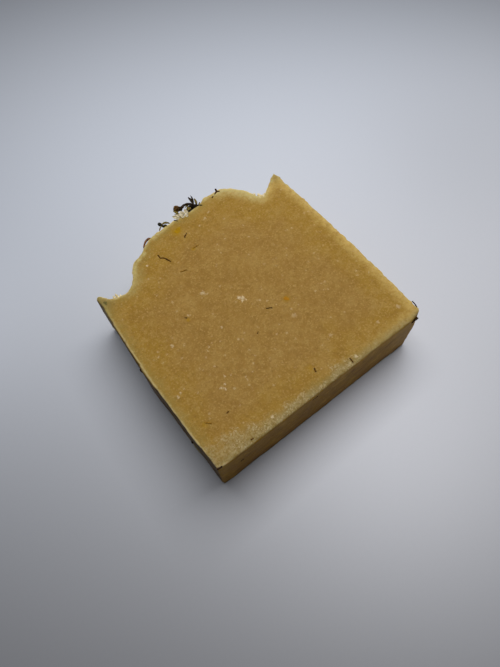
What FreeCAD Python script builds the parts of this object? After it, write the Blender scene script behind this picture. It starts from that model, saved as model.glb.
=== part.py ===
# A handmade bar of soap, cut as one slice from a loaf and lying on one of its two cut faces.
# The loaf was poured into a straight-sided mould, its open top was combed into a crown with a dip and
# an edge peak at each mould wall, and dried flowers were pressed into that top before it set.
#
# Millimetres. The slice is drawn with its mould base along X, its combed top towards +Y and its
# thickness along Z. The origin is on the face it lies on, half way across the width and half way from
# the mould base to the crown. Sizes below are measured from the left mould wall, from the mould base
# and from the face it lies on.
import FreeCAD, Part
import math
import os
import Sketcher

V = FreeCAD.Vector
X_AXIS = V(1, 0, 0)
Y_AXIS = V(0, 1, 0)
Z_AXIS = V(0, 0, 1)

# Driving dimensions: name, value, what it is. Lengths are in millimetres and turns in degrees.
SIZES = [
    ("bar_width", 80.0, "between the mould walls at the base"),
    ("bar_thickness", 23.3, "between the two cut faces"),
    ("crown_height", 82.6, "mould base to the control point of the highest swell"),
    ("mould_corner_radius", 0.9, "along the two edges of the mould base"),
    ("edge_wear_radius", 0.45, "on the edges between the moulded sides and the cut faces"),
    ("left_wall_bow_radius", 463.0, "outward bow of the left side"),
    ("left_wall_lean", 4.0, "inward lean of the left side at the blank's top"),
    ("right_wall_bow_radius", 731.0, "outward bow of the right side"),
    ("right_wall_lean", 0.8, "inward lean of the right side at the blank's top"),
    ("trim_allowance", 6.0, "blank left above the highest part of the top"),
    ("comb_overrun", 4.8, "how far the comb runs past each side"),
    ("left_peak_offset", 2.2, "left edge peak, in from the left side"),
    ("left_peak_height", 69.4, "left edge peak, above the base"),
    ("left_peak_rise", 2.9, "rise of the comb line beyond the left side"),
    ("left_peak_foot_offset", 3.8, "inner foot of the left peak"),
    ("left_peak_foot_height", 66.0, "inner foot of the left peak"),
    ("left_dip_offset", 8.4, "start of the left dip's floor"),
    ("left_dip_floor", 3.5, "width of the left dip's floor"),
    ("left_dip_height", 64.8, "left dip above the base"),
    ("left_flank_offset", 15.4, "steep side of the crown, left"),
    ("left_flank_height", 70.0, "steep side of the crown, left"),
    ("left_shoulder_offset", 17.5, "shoulder above the left flank"),
    ("left_ledge_offset", 21.7, "end of the ledge behind the shoulder"),
    ("left_ledge_height", 74.3, "ledge on the crown's left"),
    ("crown_left_drop", 3.7, "first swell of the crown, below crown_height"),
    ("crown_back_drop", 3.0, "long back of the crown, below crown_height"),
    ("crown_saddle_drop", 3.7, "saddle before the highest swell, below crown_height"),
    ("crown_notch_drop", 1.7, "notch between the two right swells, below crown_height"),
    ("crown_right_drop", 0.5, "right swell, below crown_height"),
    ("right_flank_inset", 15.4, "top of the right flank, in from the right side"),
    ("right_flank_height", 77.2, "top of the right flank"),
    ("right_fall_inset", 13.2, "where the right flank turns steep"),
    ("right_fall_height", 75.0, "where the right flank turns steep"),
    ("right_dip_inset", 11.0, "right dip, in from the right side"),
    ("right_dip_height", 67.7, "right dip above the base"),
    ("right_slope_inset", 8.0, "foot of the slope up to the right peak"),
    ("right_slope_height", 69.3, "foot of the slope up to the right peak"),
    ("right_peak_inset", 2.7, "right edge peak, in from the right side"),
    ("right_peak_height", 74.1, "right edge peak, above the base"),
    ("right_peak_rise", 1.9, "rise of the comb line beyond the right side"),
    ("stroke_lift", 1.3, "how much the comb's strokes lift and lower the crown"),
    ("stroke_shift", 2.2, "how much the comb's strokes move the crown sideways"),
    ("stalk_radius", 0.36, "flower stalk"),
    ("bud_radius", 1.4, "large flower bud"),
    ("calyx_height", 1.5, "green cup under the large bud"),
    ("bud_lift", 5.0, "middle of the large bud above the soap"),
    ("stalk_reach", 8.0, "bud to the place where its stalk enters the soap"),
    ("stalk_depth", 0.9, "end of the stalk below the surface of the soap"),
    ("side_bud_radius", 0.9, "small bud beside the stalk"),
    ("side_bud_lift", 1.9, "middle of the small bud above the soap"),
    ("leaf_length", 4.2, "leaflet on the stalk"),
    ("leaf_width", 0.9, "leaflet on the stalk"),
    ("leaf_thickness", 0.4, "leaflet on the stalk"),
    ("petal_length", 3.6, "pale petal"),
    ("petal_width", 1.5, "pale petal"),
    ("petal_thickness", 0.35, "pale petal"),
    ("petal_depth", 0.8, "foot of a petal below the surface of the soap"),
    ("seed_head_radius", 0.65, "small seed head"),
    ("seed_head_height", 1.9, "small seed head, foot to tip"),
    ("seed_head_lift", 2.7, "middle of the small seed head above the soap"),
    ("bract_length", 4.7, "bracts that hold the small seed head"),
    ("bract_width", 1.3, "bracts that hold the small seed head"),
    ("twig_radius", 0.24, "dry twigs and stalk pieces"),
    ("twig_length", 2.0, "a middling piece of dry stalk"),
    ("fork_length", 2.1, "forked twig on the rim"),
    ("curl_radius", 2.3, "arch of the curled stalk"),
    ("curl_span", 3.9, "curled stalk from end to end"),
    ("curl_place", 0.329, "curled stalk, as a share of the bar's width"),
    ("flower_place", 0.535, "large bud, as a share of the bar's width"),
    ("seed_head_place", 0.425, "small seed head, as a share of the bar's width"),
    ("fork_place", 0.725, "forked twig, as a share of the bar's width"),
    ("stalk_bow_radius", 7.5, "bend of the bud's stalk"),
    ("flower_depth", 1.2, "flowers behind the upper cut face"),
    ("bed_depth", 0.12, "twig axis below the surface it is bedded in"),
    ("yellow_petal_length", 2.6, "yellow petal piece in the cut face"),
    ("yellow_petal_width", 1.7, "yellow petal piece in the cut face"),
    ("green_leaf_length", 1.5, "green leaf piece in the left peak"),
    ("green_leaf_width", 0.9, "green leaf piece in the left peak"),
    ("green_leaf_drop", 3.7, "green leaf piece below the top of the left peak"),
    ("green_leaf_offset", 0.5, "green leaf piece, in from the top of the left peak"),
    ("crumb_radius", 0.7, "soap crumbs in the dips"),
    ("chip_radius", 2.4, "roundness of the chips out of the worn edges"),
    ("chip_depth", 0.75, "depth of the deepest chips"),
]

# The comb line's control points, from left to right: name, place across the bar, height above the
# base, and how far each follows the comb's strokes from one end of the loaf to the other.
CROWN_START = "sizes.left_ledge_offset"
CROWN_SPAN = "(sizes.bar_width - sizes.right_flank_inset - sizes.left_ledge_offset)"
COMB_LINE = [
    ("start", "-sizes.comb_overrun", "sizes.left_peak_height + sizes.left_peak_rise", 0.3),
    ("left_peak", "sizes.left_peak_offset", "sizes.left_peak_height", 0.3),
    ("left_foot", "sizes.left_peak_foot_offset", "sizes.left_peak_foot_height", 0.3),
    ("left_dip", "sizes.left_dip_offset", "sizes.left_dip_height", -0.6),
    ("left_dip_end", "sizes.left_dip_offset + sizes.left_dip_floor", "sizes.left_dip_height", -0.6),
    ("left_flank", "sizes.left_flank_offset", "sizes.left_flank_height", 0.4),
    ("left_shoulder", "sizes.left_shoulder_offset", "sizes.left_ledge_height - 0.1", 0.8),
    ("left_ledge", "sizes.left_ledge_offset", "sizes.left_ledge_height", 0.8),
    ("crown_left", f"{CROWN_START} + 0.10 * {CROWN_SPAN}", "sizes.crown_height - sizes.crown_left_drop", 1.0),
    ("crown_back", f"{CROWN_START} + 0.27 * {CROWN_SPAN}", "sizes.crown_height - sizes.crown_back_drop", 1.0),
    ("crown_mid", f"{CROWN_START} + 0.41 * {CROWN_SPAN}", "sizes.crown_height - sizes.crown_back_drop", -0.6),
    ("crown_saddle", f"{CROWN_START} + 0.61 * {CROWN_SPAN}", "sizes.crown_height - sizes.crown_saddle_drop", -1.0),
    ("crown_peak", f"{CROWN_START} + 0.74 * {CROWN_SPAN}", "sizes.crown_height", 1.0),
    ("crown_notch", f"{CROWN_START} + 0.78 * {CROWN_SPAN}", "sizes.crown_height - sizes.crown_notch_drop", 1.0),
    ("crown_right", f"{CROWN_START} + 0.90 * {CROWN_SPAN}", "sizes.crown_height - sizes.crown_right_drop", 0.8),
    ("right_flank", "sizes.bar_width - sizes.right_flank_inset", "sizes.right_flank_height", 0.8),
    ("right_fall", "sizes.bar_width - sizes.right_fall_inset", "sizes.right_fall_height", 0.4),
    ("right_dip", "sizes.bar_width - sizes.right_dip_inset", "sizes.right_dip_height", -0.6),
    ("right_slope", "sizes.bar_width - sizes.right_slope_inset", "sizes.right_slope_height", -0.3),
    ("right_peak", "sizes.bar_width - sizes.right_peak_inset", "sizes.right_peak_height", 0.3),
    ("end", "sizes.bar_width + sizes.comb_overrun", "sizes.right_peak_height + sizes.right_peak_rise", 0.3),
]

# Where the comb line is drawn through the loaf: name, share of the thickness, lift and shift of the
# strokes there, as shares of stroke_lift and stroke_shift. The upper cut face has the plain line.
STATIONS = [
    ("lower_cut", 0.0, -1.0, 1.0),
    ("lower_third", 0.33, 0.9, -0.8),
    ("upper_third", 0.66, -0.7, 0.6),
    ("upper_cut", 1.0, 0.0, 0.0),
]

# Stalk pieces cut through by the wire that cut the slice: share of the width, share of the crown
# height, share of twig_length, turn.
FACE_STALKS = [
    (0.327, 0.847, 0.95, 100),
    (0.343, 0.814, 1.80, -61),
    (0.479, 0.868, 1.15, 40),
    (0.480, 0.794, 1.25, 5),
    (0.370, 0.727, 1.25, -18),
    (0.539, 0.380, 1.05, -28),
    (0.435, 0.323, 0.45, 30),
    (0.073, 0.155, 1.10, -43),
    (0.151, 0.144, 0.40, 10),
    (0.508, 0.075, 0.65, 75),
    (0.252, 0.545, 0.40, -40),
    (0.642, 0.022, 0.80, 86),
    (0.161, 0.016, 0.45, -10),
    (0.694, 0.964, 0.40, 30),
]

# Stalk pieces lying in the moulded sides: side, share along it, share of the thickness, share of
# twig_length, turn.
SIDE_STALKS = [
    ("base", 0.953, 0.93, 1.20, 3),
    ("base", 0.444, 0.90, 1.00, 8),
    ("base", 0.100, 0.62, 0.60, 35),
    ("base", 0.625, 0.20, 0.55, -20),
    ("left", 0.455, 0.90, 0.50, 15),
    ("left", 0.180, 0.40, 0.80, -50),
    ("right", 0.045, 0.93, 0.65, 8),
    ("right", 0.300, 0.35, 0.90, 60),
    ("right", 0.620, 0.60, 0.55, -35),
]

# Stalk pieces lying on the combed top: share of the width, share of the thickness, share of
# twig_length, turn.
TOP_STALKS = [
    (0.283, 0.93, 0.50, 60),
    (0.489, 0.96, 0.60, -50),
    (0.310, 0.52, 1.50, 25),
    (0.560, 0.30, 1.30, -70),
    (0.650, 0.55, 1.10, 10),
    (0.420, 0.22, 0.90, 80),
]

# Pale petals standing round the large bud: along X from the bud and behind it, as shares of
# petal_length, lean across, lean back.
PETALS = [
    (-0.80, 0.25, 14, 4),
    (0.24, 0.05, -4, -6),
    (-0.28, 0.55, -30, 25),
    (-1.22, 1.33, 40, -35),
    (0.95, 1.55, 10, 40),
]

# Leaflets on the bud's stalk: share of the way along it, share of leaf_length, lean across, lean back.
LEAFLETS = [(0.62, 1.00, -13, -8), (0.76, 0.80, -12, 3), (0.88, 0.55, -15, 10)]

# Chips out of the edges between the moulded sides and the cut faces: side, share along it, the cut
# face (1 upper, -1 lower), share of chip_depth.
CHIPS = [
    ("right", 0.650, 1, 0.55),
    ("right", 0.330, 1, 0.40),
    ("left", 0.300, 1, 0.60),
    ("left", 0.560, -1, 0.50),
    ("base", 0.250, 1, 0.35),
    ("base", 0.560, 1, 0.30),
    ("base", 0.800, -1, 0.45),
]

# Chips out of the upright edge between the base and the right side: share of the thickness, share of
# chip_depth.
CORNER_CHIPS = [(0.40, 1.00), (0.80, 0.70)]

# Crumbs of soap in the dips: share of the width, share of the thickness, share of crumb_radius.
CRUMBS = [
    (0.088, 0.93, 0.80),
    (0.112, 0.90, 1.00),
    (0.126, 0.78, 0.70),
    (0.842, 0.93, 0.75),
    (0.866, 0.92, 1.20),
    (0.882, 0.84, 1.00),
    (0.105, 0.45, 0.85),
    (0.872, 0.40, 0.95),
]


def fill_sheet(doc):
    """Writes the driving dimensions into the spreadsheet."""
    sheet = doc.addObject("Spreadsheet::Sheet", "sizes")
    for row, (name, value, note) in enumerate(SIZES, start=1):
        sheet.set(f"A{row}", name)
        sheet.set(f"B{row}", str(value))
        sheet.set(f"C{row}", note)
        sheet.setAlias(f"B{row}", name)
    doc.recompute()
    return sheet


def value_of(holder, expression):
    """The number that an expression on the sheet gives."""
    found = holder.evalExpression(expression)
    return float(getattr(found, "Value", found))


def plane_of(body, role):
    """One of a body's own origin planes."""
    return next(f for f in body.Origin.OriginFeatures if f.Role == role)


def new_sketch(body, name, role="XY_Plane", rise=None):
    """A sketch on a body's own plane, raised along its normal by an expression."""
    sketch = body.newObject("Sketcher::SketchObject", name)
    sketch.AttachmentSupport = [(plane_of(body, role), "")]
    sketch.MapMode = "FlatFace"
    if rise:
        sketch.setExpression("AttachmentOffset.Base.z", rise)
    return sketch


def bind(sketch, name, constraint, expression):
    """Adds a named constraint whose value follows an expression."""
    index = sketch.addConstraint(constraint)
    sketch.renameConstraint(index, name)
    sketch.setExpression(f"Constraints.{name}", expression)


def place_point(sketch, name, geometry, position, x, y):
    """Ties a point of a sketch to expressions for its two coordinates."""
    for axis, expression in (("x", x), ("y", y)):
        kind = "DistanceX" if axis == "x" else "DistanceY"
        amount = value_of(sketch, expression)
        bind(sketch, f"{name}_{axis}", Sketcher.Constraint(kind, -1, 1, geometry, position, amount), expression)


def bow(start, end, radius):
    """An arc between two points, with its middle to the right of the way from start to end."""
    chord = end - start
    sagitta = radius - math.sqrt(radius**2 - (chord.Length / 2) ** 2)
    outward = chord.cross(Z_AXIS).normalize()
    return Part.Arc(start, (start + end) / 2 + outward * sagitta, end)


def draw_blank(body):
    """The slice before its top is combed: straight base, two bowed mould walls and a plain top."""
    top = (
        "max(sizes.crown_height; max(sizes.left_peak_height; sizes.right_peak_height))"
        " + sizes.trim_allowance + sizes.stroke_lift"
    )
    sketch = new_sketch(body, "slice_outline")
    width = value_of(sketch, "sizes.bar_width")
    height = value_of(sketch, top)
    corners = [
        V(0, 0, 0),
        V(width, 0, 0),
        V(width - value_of(sketch, "sizes.right_wall_lean"), height, 0),
        V(value_of(sketch, "sizes.left_wall_lean"), height, 0),
    ]
    base = sketch.addGeometry(Part.LineSegment(corners[0], corners[1]))
    right = sketch.addGeometry(bow(corners[1], corners[2], value_of(sketch, "sizes.right_wall_bow_radius")))
    lid = sketch.addGeometry(Part.LineSegment(corners[2], corners[3]))
    left = sketch.addGeometry(bow(corners[3], corners[0], value_of(sketch, "sizes.left_wall_bow_radius")))
    ring = [base, right, lid, left]
    for one, following in zip(ring, ring[1:] + ring[:1]):
        sketch.addConstraint(Sketcher.Constraint("Coincident", one, 2, following, 1))
    sketch.addConstraint(Sketcher.Constraint("Coincident", base, 1, -1, 1))
    sketch.addConstraint(Sketcher.Constraint("Horizontal", base))
    bind(sketch, "width", Sketcher.Constraint("DistanceX", base, 1, base, 2, width), "sizes.bar_width")
    place_point(sketch, "right_top", lid, 1, "sizes.bar_width - sizes.right_wall_lean", top)
    place_point(sketch, "left_top", lid, 2, "sizes.left_wall_lean", top)
    for name, wall in (("right_wall", right), ("left_wall", left)):
        radius = f"sizes.{name}_bow_radius"
        bind(sketch, f"{name}_bow", Sketcher.Constraint("Radius", wall, value_of(sketch, radius)), radius)
    return sketch, top


def edges_where(shape, test):
    """The names of a shape's edges whose two ends pass a test together."""
    return [
        f"Edge{number}"
        for number, edge in enumerate(shape.Edges, start=1)
        if test(edge.Vertexes[0].Point, edge.Vertexes[-1].Point)
    ]


def round_edges(body, name, base, edges, radius):
    """A fillet on some of a feature's edges, its radius tied to the sheet."""
    fillet = body.newObject("PartDesign::Fillet", name)
    fillet.Base = (base, edges)
    fillet.setExpression("Radius", radius)
    body.Document.recompute()
    return fillet


def draw_comb_line(body, station, share, lift, shift, top):
    """One profile of the comb: the curve that it leaves, closed above the blank."""
    sketch = new_sketch(body, f"comb_line_{station}", rise=f"{share} * sizes.bar_thickness")
    points = []
    for name, across, height, follows in COMB_LINE:
        moves = 0 if name in ("start", "end") else abs(follows)
        points.append(
            (
                name,
                f"{across} + {shift * moves} * sizes.stroke_shift",
                f"{height} + {lift * follows} * sizes.stroke_lift",
            )
        )
    poles = [V(value_of(sketch, x), value_of(sketch, y), 0) for _, x, y in points]
    spans = len(poles) - 3
    curve = Part.BSplineCurve()
    curve.buildFromPolesMultsKnots(poles, [4] + [1] * (spans - 1) + [4], list(range(spans + 1)), False, 3)
    line = sketch.addGeometry(curve)
    for number, ((name, x, y), pole) in enumerate(zip(points, poles)):
        knob = sketch.addGeometry(Part.Circle(pole, Z_AXIS, 1.0), True)
        kind = "InternalAlignment:Sketcher::BSplineControlPoint"
        sketch.addConstraint(Sketcher.Constraint("Weight", knob, 1.0))
        sketch.addConstraint(Sketcher.Constraint(kind, knob, 3, line, number))
        place_point(sketch, name, knob, 3, x, y)
    ceiling = f"{top} + sizes.comb_overrun"
    high = value_of(sketch, ceiling)
    first = V(poles[0].x, high, 0)
    last = V(poles[-1].x, high, 0)
    right = sketch.addGeometry(Part.LineSegment(poles[-1], last))
    lid = sketch.addGeometry(Part.LineSegment(last, first))
    left = sketch.addGeometry(Part.LineSegment(first, poles[0]))
    ring = [line, right, lid, left]
    for one, following in zip(ring, ring[1:] + ring[:1]):
        sketch.addConstraint(Sketcher.Constraint("Coincident", one, 2, following, 1))
    sketch.addConstraint(Sketcher.Constraint("Vertical", right))
    sketch.addConstraint(Sketcher.Constraint("Vertical", left))
    sketch.addConstraint(Sketcher.Constraint("Horizontal", lid))
    bind(sketch, "ceiling", Sketcher.Constraint("DistanceY", -1, 1, lid, 1, high), ceiling)
    return sketch


def make_slice(doc):
    """The bare slice of soap: padded outline, worn edges and the combed top."""
    body = doc.addObject("PartDesign::Body", "bare_slice")
    outline, top = draw_blank(body)
    pad = body.newObject("PartDesign::Pad", "slice_thickness")
    pad.Profile = outline
    pad.setExpression("Length", "sizes.bar_thickness")
    doc.recompute()
    height = value_of(outline, top)
    thickness = value_of(outline, "sizes.bar_thickness")
    near = 1e-4

    def upright_at_base(one, other):
        return abs(one.z - other.z) > near and abs(one.y) < near and abs(other.y) < near

    def on_cut_face(one, other):
        level = abs(one.z - other.z) < near and min(abs(one.z), abs(one.z - thickness)) < near
        return level and not (abs(one.y - height) < near and abs(other.y - height) < near)

    corners = edges_where(pad.Shape, upright_at_base)
    rounded = round_edges(body, "mould_corners", pad, corners, "sizes.mould_corner_radius")
    worn = edges_where(rounded.Shape, on_cut_face)
    softened = round_edges(body, "worn_edges", rounded, worn, "sizes.edge_wear_radius")
    lines = [draw_comb_line(body, *station, top) for station in STATIONS]
    doc.recompute()
    comb = body.newObject("PartDesign::SubtractiveLoft", "combed_top")
    comb.Profile = lines[0]
    comb.Sections = [(line, [""]) for line in lines[1:]]
    comb.BaseFeature = softened
    doc.recompute()
    if comb.Shape.Volume > softened.Shape.Volume * 0.99:
        raise RuntimeError("the comb cut nothing off the blank")
    return body


class Slice:
    """The bare slice and the places on it, for seating everything that is bedded in it."""

    def __init__(self, doc, sheet):
        self.doc = doc
        self.sheet = sheet
        self.body = make_slice(doc)
        self.body.setExpression("Placement.Base.x", "-sizes.bar_width / 2")
        self.body.setExpression("Placement.Base.y", "-sizes.crown_height / 2")
        doc.recompute()

    def at(self, x, y, z):
        """A point given from the slice's left foot, in the part's own frame."""
        return V(x - self.sheet.bar_width / 2, y - self.sheet.crown_height / 2, z)

    def hit(self, start, end):
        """The first point of the slice on the way from start to end."""
        found = Part.makeLine(start, end).common(self.body.Shape)
        points = [vertex.Point for vertex in found.Vertexes]
        return min(points, key=lambda point: point.distanceToPoint(start))

    def top(self, x, z):
        """The combed top above a place of the slice, never outside its cut faces."""
        depth = min(max(z, 0.9), self.sheet.bar_thickness - 0.9)
        high = 2 * self.sheet.crown_height
        return self.hit(self.at(x, high, depth), self.at(x, self.sheet.bar_thickness, depth)) + V(0, 0, z - depth)

    def side(self, name, share, depth):
        """A place on a moulded side, with the outward direction and the direction along the side."""
        width = self.sheet.bar_width
        height = self.sheet.crown_height
        if name == "base":
            return self.at(share * width, 0, depth), V(0, -1, 0), X_AXIS
        out = V(-1, 0, 0) if name == "left" else X_AXIS
        outside = self.at(width / 2, share * height, depth) + out * width
        return self.hit(outside, outside - out * width), out, Y_AXIS


def solid(doc, kind, name, placement, **expressions):
    """A Part primitive at a place, with its sizes tied to the sheet."""
    made = doc.addObject(f"Part::{kind}", name)
    for size, expression in expressions.items():
        made.setExpression(size, expression)
    made.Placement = placement
    return made


def along(direction, centre=None, start=None, length=0):
    """A placement with local Z along a direction, about a centre or from a start."""
    turn = FreeCAD.Rotation(Z_AXIS, direction)
    origin = start if centre is None else centre - V(direction).normalize() * (length / 2)
    return FreeCAD.Placement(origin, turn)


def together(doc, kind, name, label, pieces):
    """Joins pieces into one object, fused or as a compound."""
    made = doc.addObject(f"Part::{kind}", name)
    if kind == "Compound":
        made.Links = pieces
    else:
        made.Shapes = pieces
    made.Label = label
    return made


def arch(doc, name, start, end, rise, bow_radius, radius):
    """A round stalk bent along an arc between two points, bulging towards a direction."""
    reach = value_of(doc.sizes, bow_radius)
    chord = end - start
    sweep = 2 * math.asin(min(chord.Length / (2 * reach), 0.99))
    across = V(chord).normalize()
    out = (rise - across * rise.dot(across)).normalize()
    half = sweep / 2
    local = FreeCAD.Rotation(
        V(math.cos(half), math.sin(half), 0), V(-math.sin(half), math.cos(half), 0), Z_AXIS, "XYZ"
    )
    placed = FreeCAD.Rotation(out, across, out.cross(across), "XYZ")
    turn = placed.multiply(local.inverted())
    centre = (start + end) / 2 - out * (reach * math.cos(half))
    made = solid(doc, "Torus", name, FreeCAD.Placement(centre, turn), Radius1=bow_radius, Radius2=radius)
    made.Angle3 = math.degrees(sweep)
    return made


def blade(doc, name, length, width, thickness, placement):
    """A petal or leaf: a lens-shaped outline from its foot along local Y, given a thickness."""
    sketch = doc.addObject("Sketcher::SketchObject", f"{name}_outline")
    reach = value_of(doc.sizes, length)
    belly = value_of(doc.sizes, width) / 2
    foot = V(0, 0, 0)
    tip = V(0, reach, 0)
    right = sketch.addGeometry(Part.Arc(foot, V(belly, reach / 2, 0), tip))
    left = sketch.addGeometry(Part.Arc(tip, V(-belly, reach / 2, 0), foot))
    sketch.addConstraint(Sketcher.Constraint("Coincident", right, 1, -1, 1))
    sketch.addConstraint(Sketcher.Constraint("Coincident", right, 2, left, 1))
    sketch.addConstraint(Sketcher.Constraint("Coincident", left, 2, right, 1))
    sketch.addConstraint(Sketcher.Constraint("Equal", right, left))
    sketch.addConstraint(Sketcher.Constraint("PointOnObject", left, 1, -2))
    bind(sketch, "length", Sketcher.Constraint("DistanceY", -1, 1, right, 2, reach), length)
    bow_radius = (belly**2 + reach**2 / 4) / (2 * belly)
    expression = f"(({width})^2 / 4 + ({length})^2 / 4) / ({width})"
    bind(sketch, "bow", Sketcher.Constraint("Radius", right, bow_radius), expression)
    made = doc.addObject("Part::Extrusion", name)
    made.Base = sketch
    made.DirMode = "Normal"
    made.Symmetric = True
    made.Solid = True
    made.setExpression("LengthFwd", thickness)
    made.Placement = placement
    return made


def leaning(point, across, back, sink):
    """A placement for a blade that stands on the top: leant across and back, its foot sunk."""
    turn = FreeCAD.Rotation(Z_AXIS, across).multiply(FreeCAD.Rotation(X_AXIS, back))
    return FreeCAD.Placement(point - turn.multVec(Y_AXIS) * sink, turn)


def flower_sprig(soap):
    """The large bud on its bent stalk, the side bud beside it and three leaflets."""
    doc, sheet = soap.doc, soap.sheet
    depth = sheet.bar_thickness - sheet.flower_depth
    across = sheet.flower_place * sheet.bar_width
    foot = soap.top(across, depth)
    head = foot + V(0, sheet.bud_lift, 0)
    root = soap.top(across + sheet.stalk_reach, depth) - V(0, sheet.stalk_depth, 0)
    bud = solid(doc, "Sphere", "bud", FreeCAD.Placement(head, FreeCAD.Rotation()), Radius="sizes.bud_radius")
    start = head + V(0.4, -0.3, 0) * sheet.bud_radius
    stalk = arch(doc, "bud_stalk", start, root, Y_AXIS, "sizes.stalk_bow_radius", "sizes.stalk_radius")
    calyx = solid(
        doc,
        "Cone",
        "calyx",
        along(V(0.8, -0.6, 0), start=head),
        Radius1="0.98 * sizes.bud_radius",
        Radius2="1.2 * sizes.stalk_radius",
        Height="sizes.calyx_height",
    )
    doc.recompute()
    side = soap.top(across + 0.40 * sheet.stalk_reach, depth)
    perch = side + V(0, sheet.side_bud_lift, 0)
    side_bud = solid(
        doc, "Sphere", "side_bud", FreeCAD.Placement(perch, FreeCAD.Rotation()), Radius="sizes.side_bud_radius"
    )
    side_foot = side - V(0, sheet.stalk_depth, 0)
    side_stem = rod(doc, "side_stem", (side_foot + perch) / 2, perch - side_foot, (perch - side_foot).Length)
    pieces = [bud, calyx, stalk, side_bud, side_stem]
    for number, (share, size, across, back) in enumerate(LEAFLETS, start=1):
        place = leaning(stalk_point(stalk, share), across, back, sheet.stalk_radius)
        sizes = (f"{size} * sizes.leaf_length", "sizes.leaf_width", "sizes.leaf_thickness")
        pieces.append(blade(doc, f"leaflet_{number}", *sizes, place))
    return together(doc, "MultiFuse", "flower_sprig", "Flower sprig", pieces)


def stalk_point(stalk, share):
    """A point on the axis of a bent stalk, at a share of the way from its end."""
    angle = math.radians(float(stalk.Angle3)) * share
    radius = stalk.Radius1.Value
    return stalk.Placement.multVec(V(radius * math.cos(angle), radius * math.sin(angle), 0))


def pale_petals(soap):
    """The pale petals that stand in the combed top round the large bud."""
    doc, sheet = soap.doc, soap.sheet
    pieces = []
    for number, (aside, behind, across, back) in enumerate(PETALS, start=1):
        depth = sheet.bar_thickness - sheet.flower_depth - behind * sheet.petal_length
        spot = soap.top(sheet.flower_place * sheet.bar_width + aside * sheet.petal_length, depth)
        place = leaning(spot, across, back, sheet.petal_depth)
        sizes = ("sizes.petal_length", "sizes.petal_width", "sizes.petal_thickness")
        pieces.append(blade(doc, f"pale_petal_{number}", *sizes, place))
    return together(doc, "Compound", "pale_petals", "Pale petals", pieces)


def seed_head(soap):
    """The small seed head on the crown's back, held up by two bracts like the legs of a tent."""
    doc, sheet = soap.doc, soap.sheet
    depth = sheet.bar_thickness - sheet.flower_depth
    across = sheet.seed_head_place * sheet.bar_width
    apex = soap.top(across, depth) + V(0, sheet.seed_head_lift, 0)
    head = solid(
        doc,
        "Cone",
        "seed_head_core",
        along(Y_AXIS, centre=apex, length=sheet.seed_head_height),
        Radius1="sizes.seed_head_radius",
        Radius2="0.45 * sizes.seed_head_radius",
        Height="sizes.seed_head_height",
    )
    pieces = [head]
    for name, aside, aback in (("left", -0.48, -0.35), ("right", 0.62, 0.35)):
        foot = soap.top(across + aside * sheet.bract_length, depth) + V(0, 0, aback * sheet.leaf_thickness)
        lean = math.degrees(math.atan2(foot.x - apex.x, apex.y - foot.y))
        sizes = ("sizes.bract_length", "sizes.bract_width", "sizes.leaf_thickness")
        pieces.append(blade(doc, f"bract_{name}", *sizes, leaning(foot, lean, 0, sheet.petal_depth)))
    return together(doc, "MultiFuse", "seed_head", "Small seed head", pieces)


def curled_stalk(soap):
    """The stalk piece that arches out of the top beside the left flank."""
    doc, sheet = soap.doc, soap.sheet
    depth = sheet.bar_thickness - sheet.flower_depth
    across = sheet.curl_place * sheet.bar_width
    sink = V(0, 0.4 * sheet.stalk_depth, 0)
    start = soap.top(across - sheet.curl_span / 2, depth) - sink
    end = soap.top(across + sheet.curl_span / 2, depth) - sink
    made = arch(doc, "curled_stalk", start, end, Y_AXIS, "sizes.curl_radius", "0.8 * sizes.stalk_radius")
    made.Label = "Curled stalk"
    return made


def edge_twig(soap):
    """The forked twig lying on the rim of the upper cut face, with one prong over the crown."""
    doc, sheet = soap.doc, soap.sheet
    level = sheet.bar_thickness - sheet.bed_depth
    edge = soap.top(sheet.fork_place * sheet.bar_width, level)
    low = edge + V(-0.52, -0.48, 0) * sheet.fork_length
    high = edge + V(0.43, -0.29, 0) * sheet.fork_length
    fork = low + (high - low) * 0.55
    tip = edge + V(0.33, 0.43, 0) * sheet.fork_length
    stem = rod(doc, "fork_stem", (low + high) / 2, high - low, (high - low).Length)
    prong = rod(doc, "fork_prong", (fork + tip) / 2, tip - fork, (tip - fork).Length)
    return together(doc, "MultiFuse", "edge_twig", "Forked twig on the rim", [stem, prong])


def rod(doc, name, centre, direction, length):
    """A straight piece of stalk about a centre."""
    made = solid(
        doc, "Cylinder", name, along(direction, centre=centre, length=length), Radius="sizes.twig_radius"
    )
    made.Height = length
    return made


def face_stalks(soap):
    """Stalk pieces in the upper cut face, cut off flush with it."""
    doc, sheet = soap.doc, soap.sheet
    rods = []
    for number, (x, y, share, turn) in enumerate(FACE_STALKS, start=1):
        centre = soap.at(x * sheet.bar_width, y * sheet.crown_height, sheet.bar_thickness - sheet.bed_depth)
        angle = math.radians(turn)
        direction = V(math.cos(angle), math.sin(angle), 0)
        rods.append(rod(doc, f"face_stalk_{number}", centre, direction, share * sheet.twig_length))
    whole = together(doc, "Compound", "face_stalks_uncut", "Stalk pieces before the cut", rods)
    made = doc.addObject("Part::Common", "face_stalks")
    made.Base = whole
    made.Tool = soap.body
    made.Label = "Stalk pieces in the cut face"
    return made


def side_stalks(soap):
    """Stalk pieces bedded in the moulded sides."""
    doc, sheet = soap.doc, soap.sheet
    rods = []
    for number, (name, share, depth, size, turn) in enumerate(SIDE_STALKS, start=1):
        spot, out, side = soap.side(name, share, depth * sheet.bar_thickness)
        angle = math.radians(turn)
        direction = side * math.cos(angle) + Z_AXIS * math.sin(angle)
        centre = spot - out * sheet.bed_depth
        rods.append(rod(doc, f"side_stalk_{number}", centre, direction, size * sheet.twig_length))
    return together(doc, "Compound", "side_stalks", "Stalk pieces in the moulded sides", rods)


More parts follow.
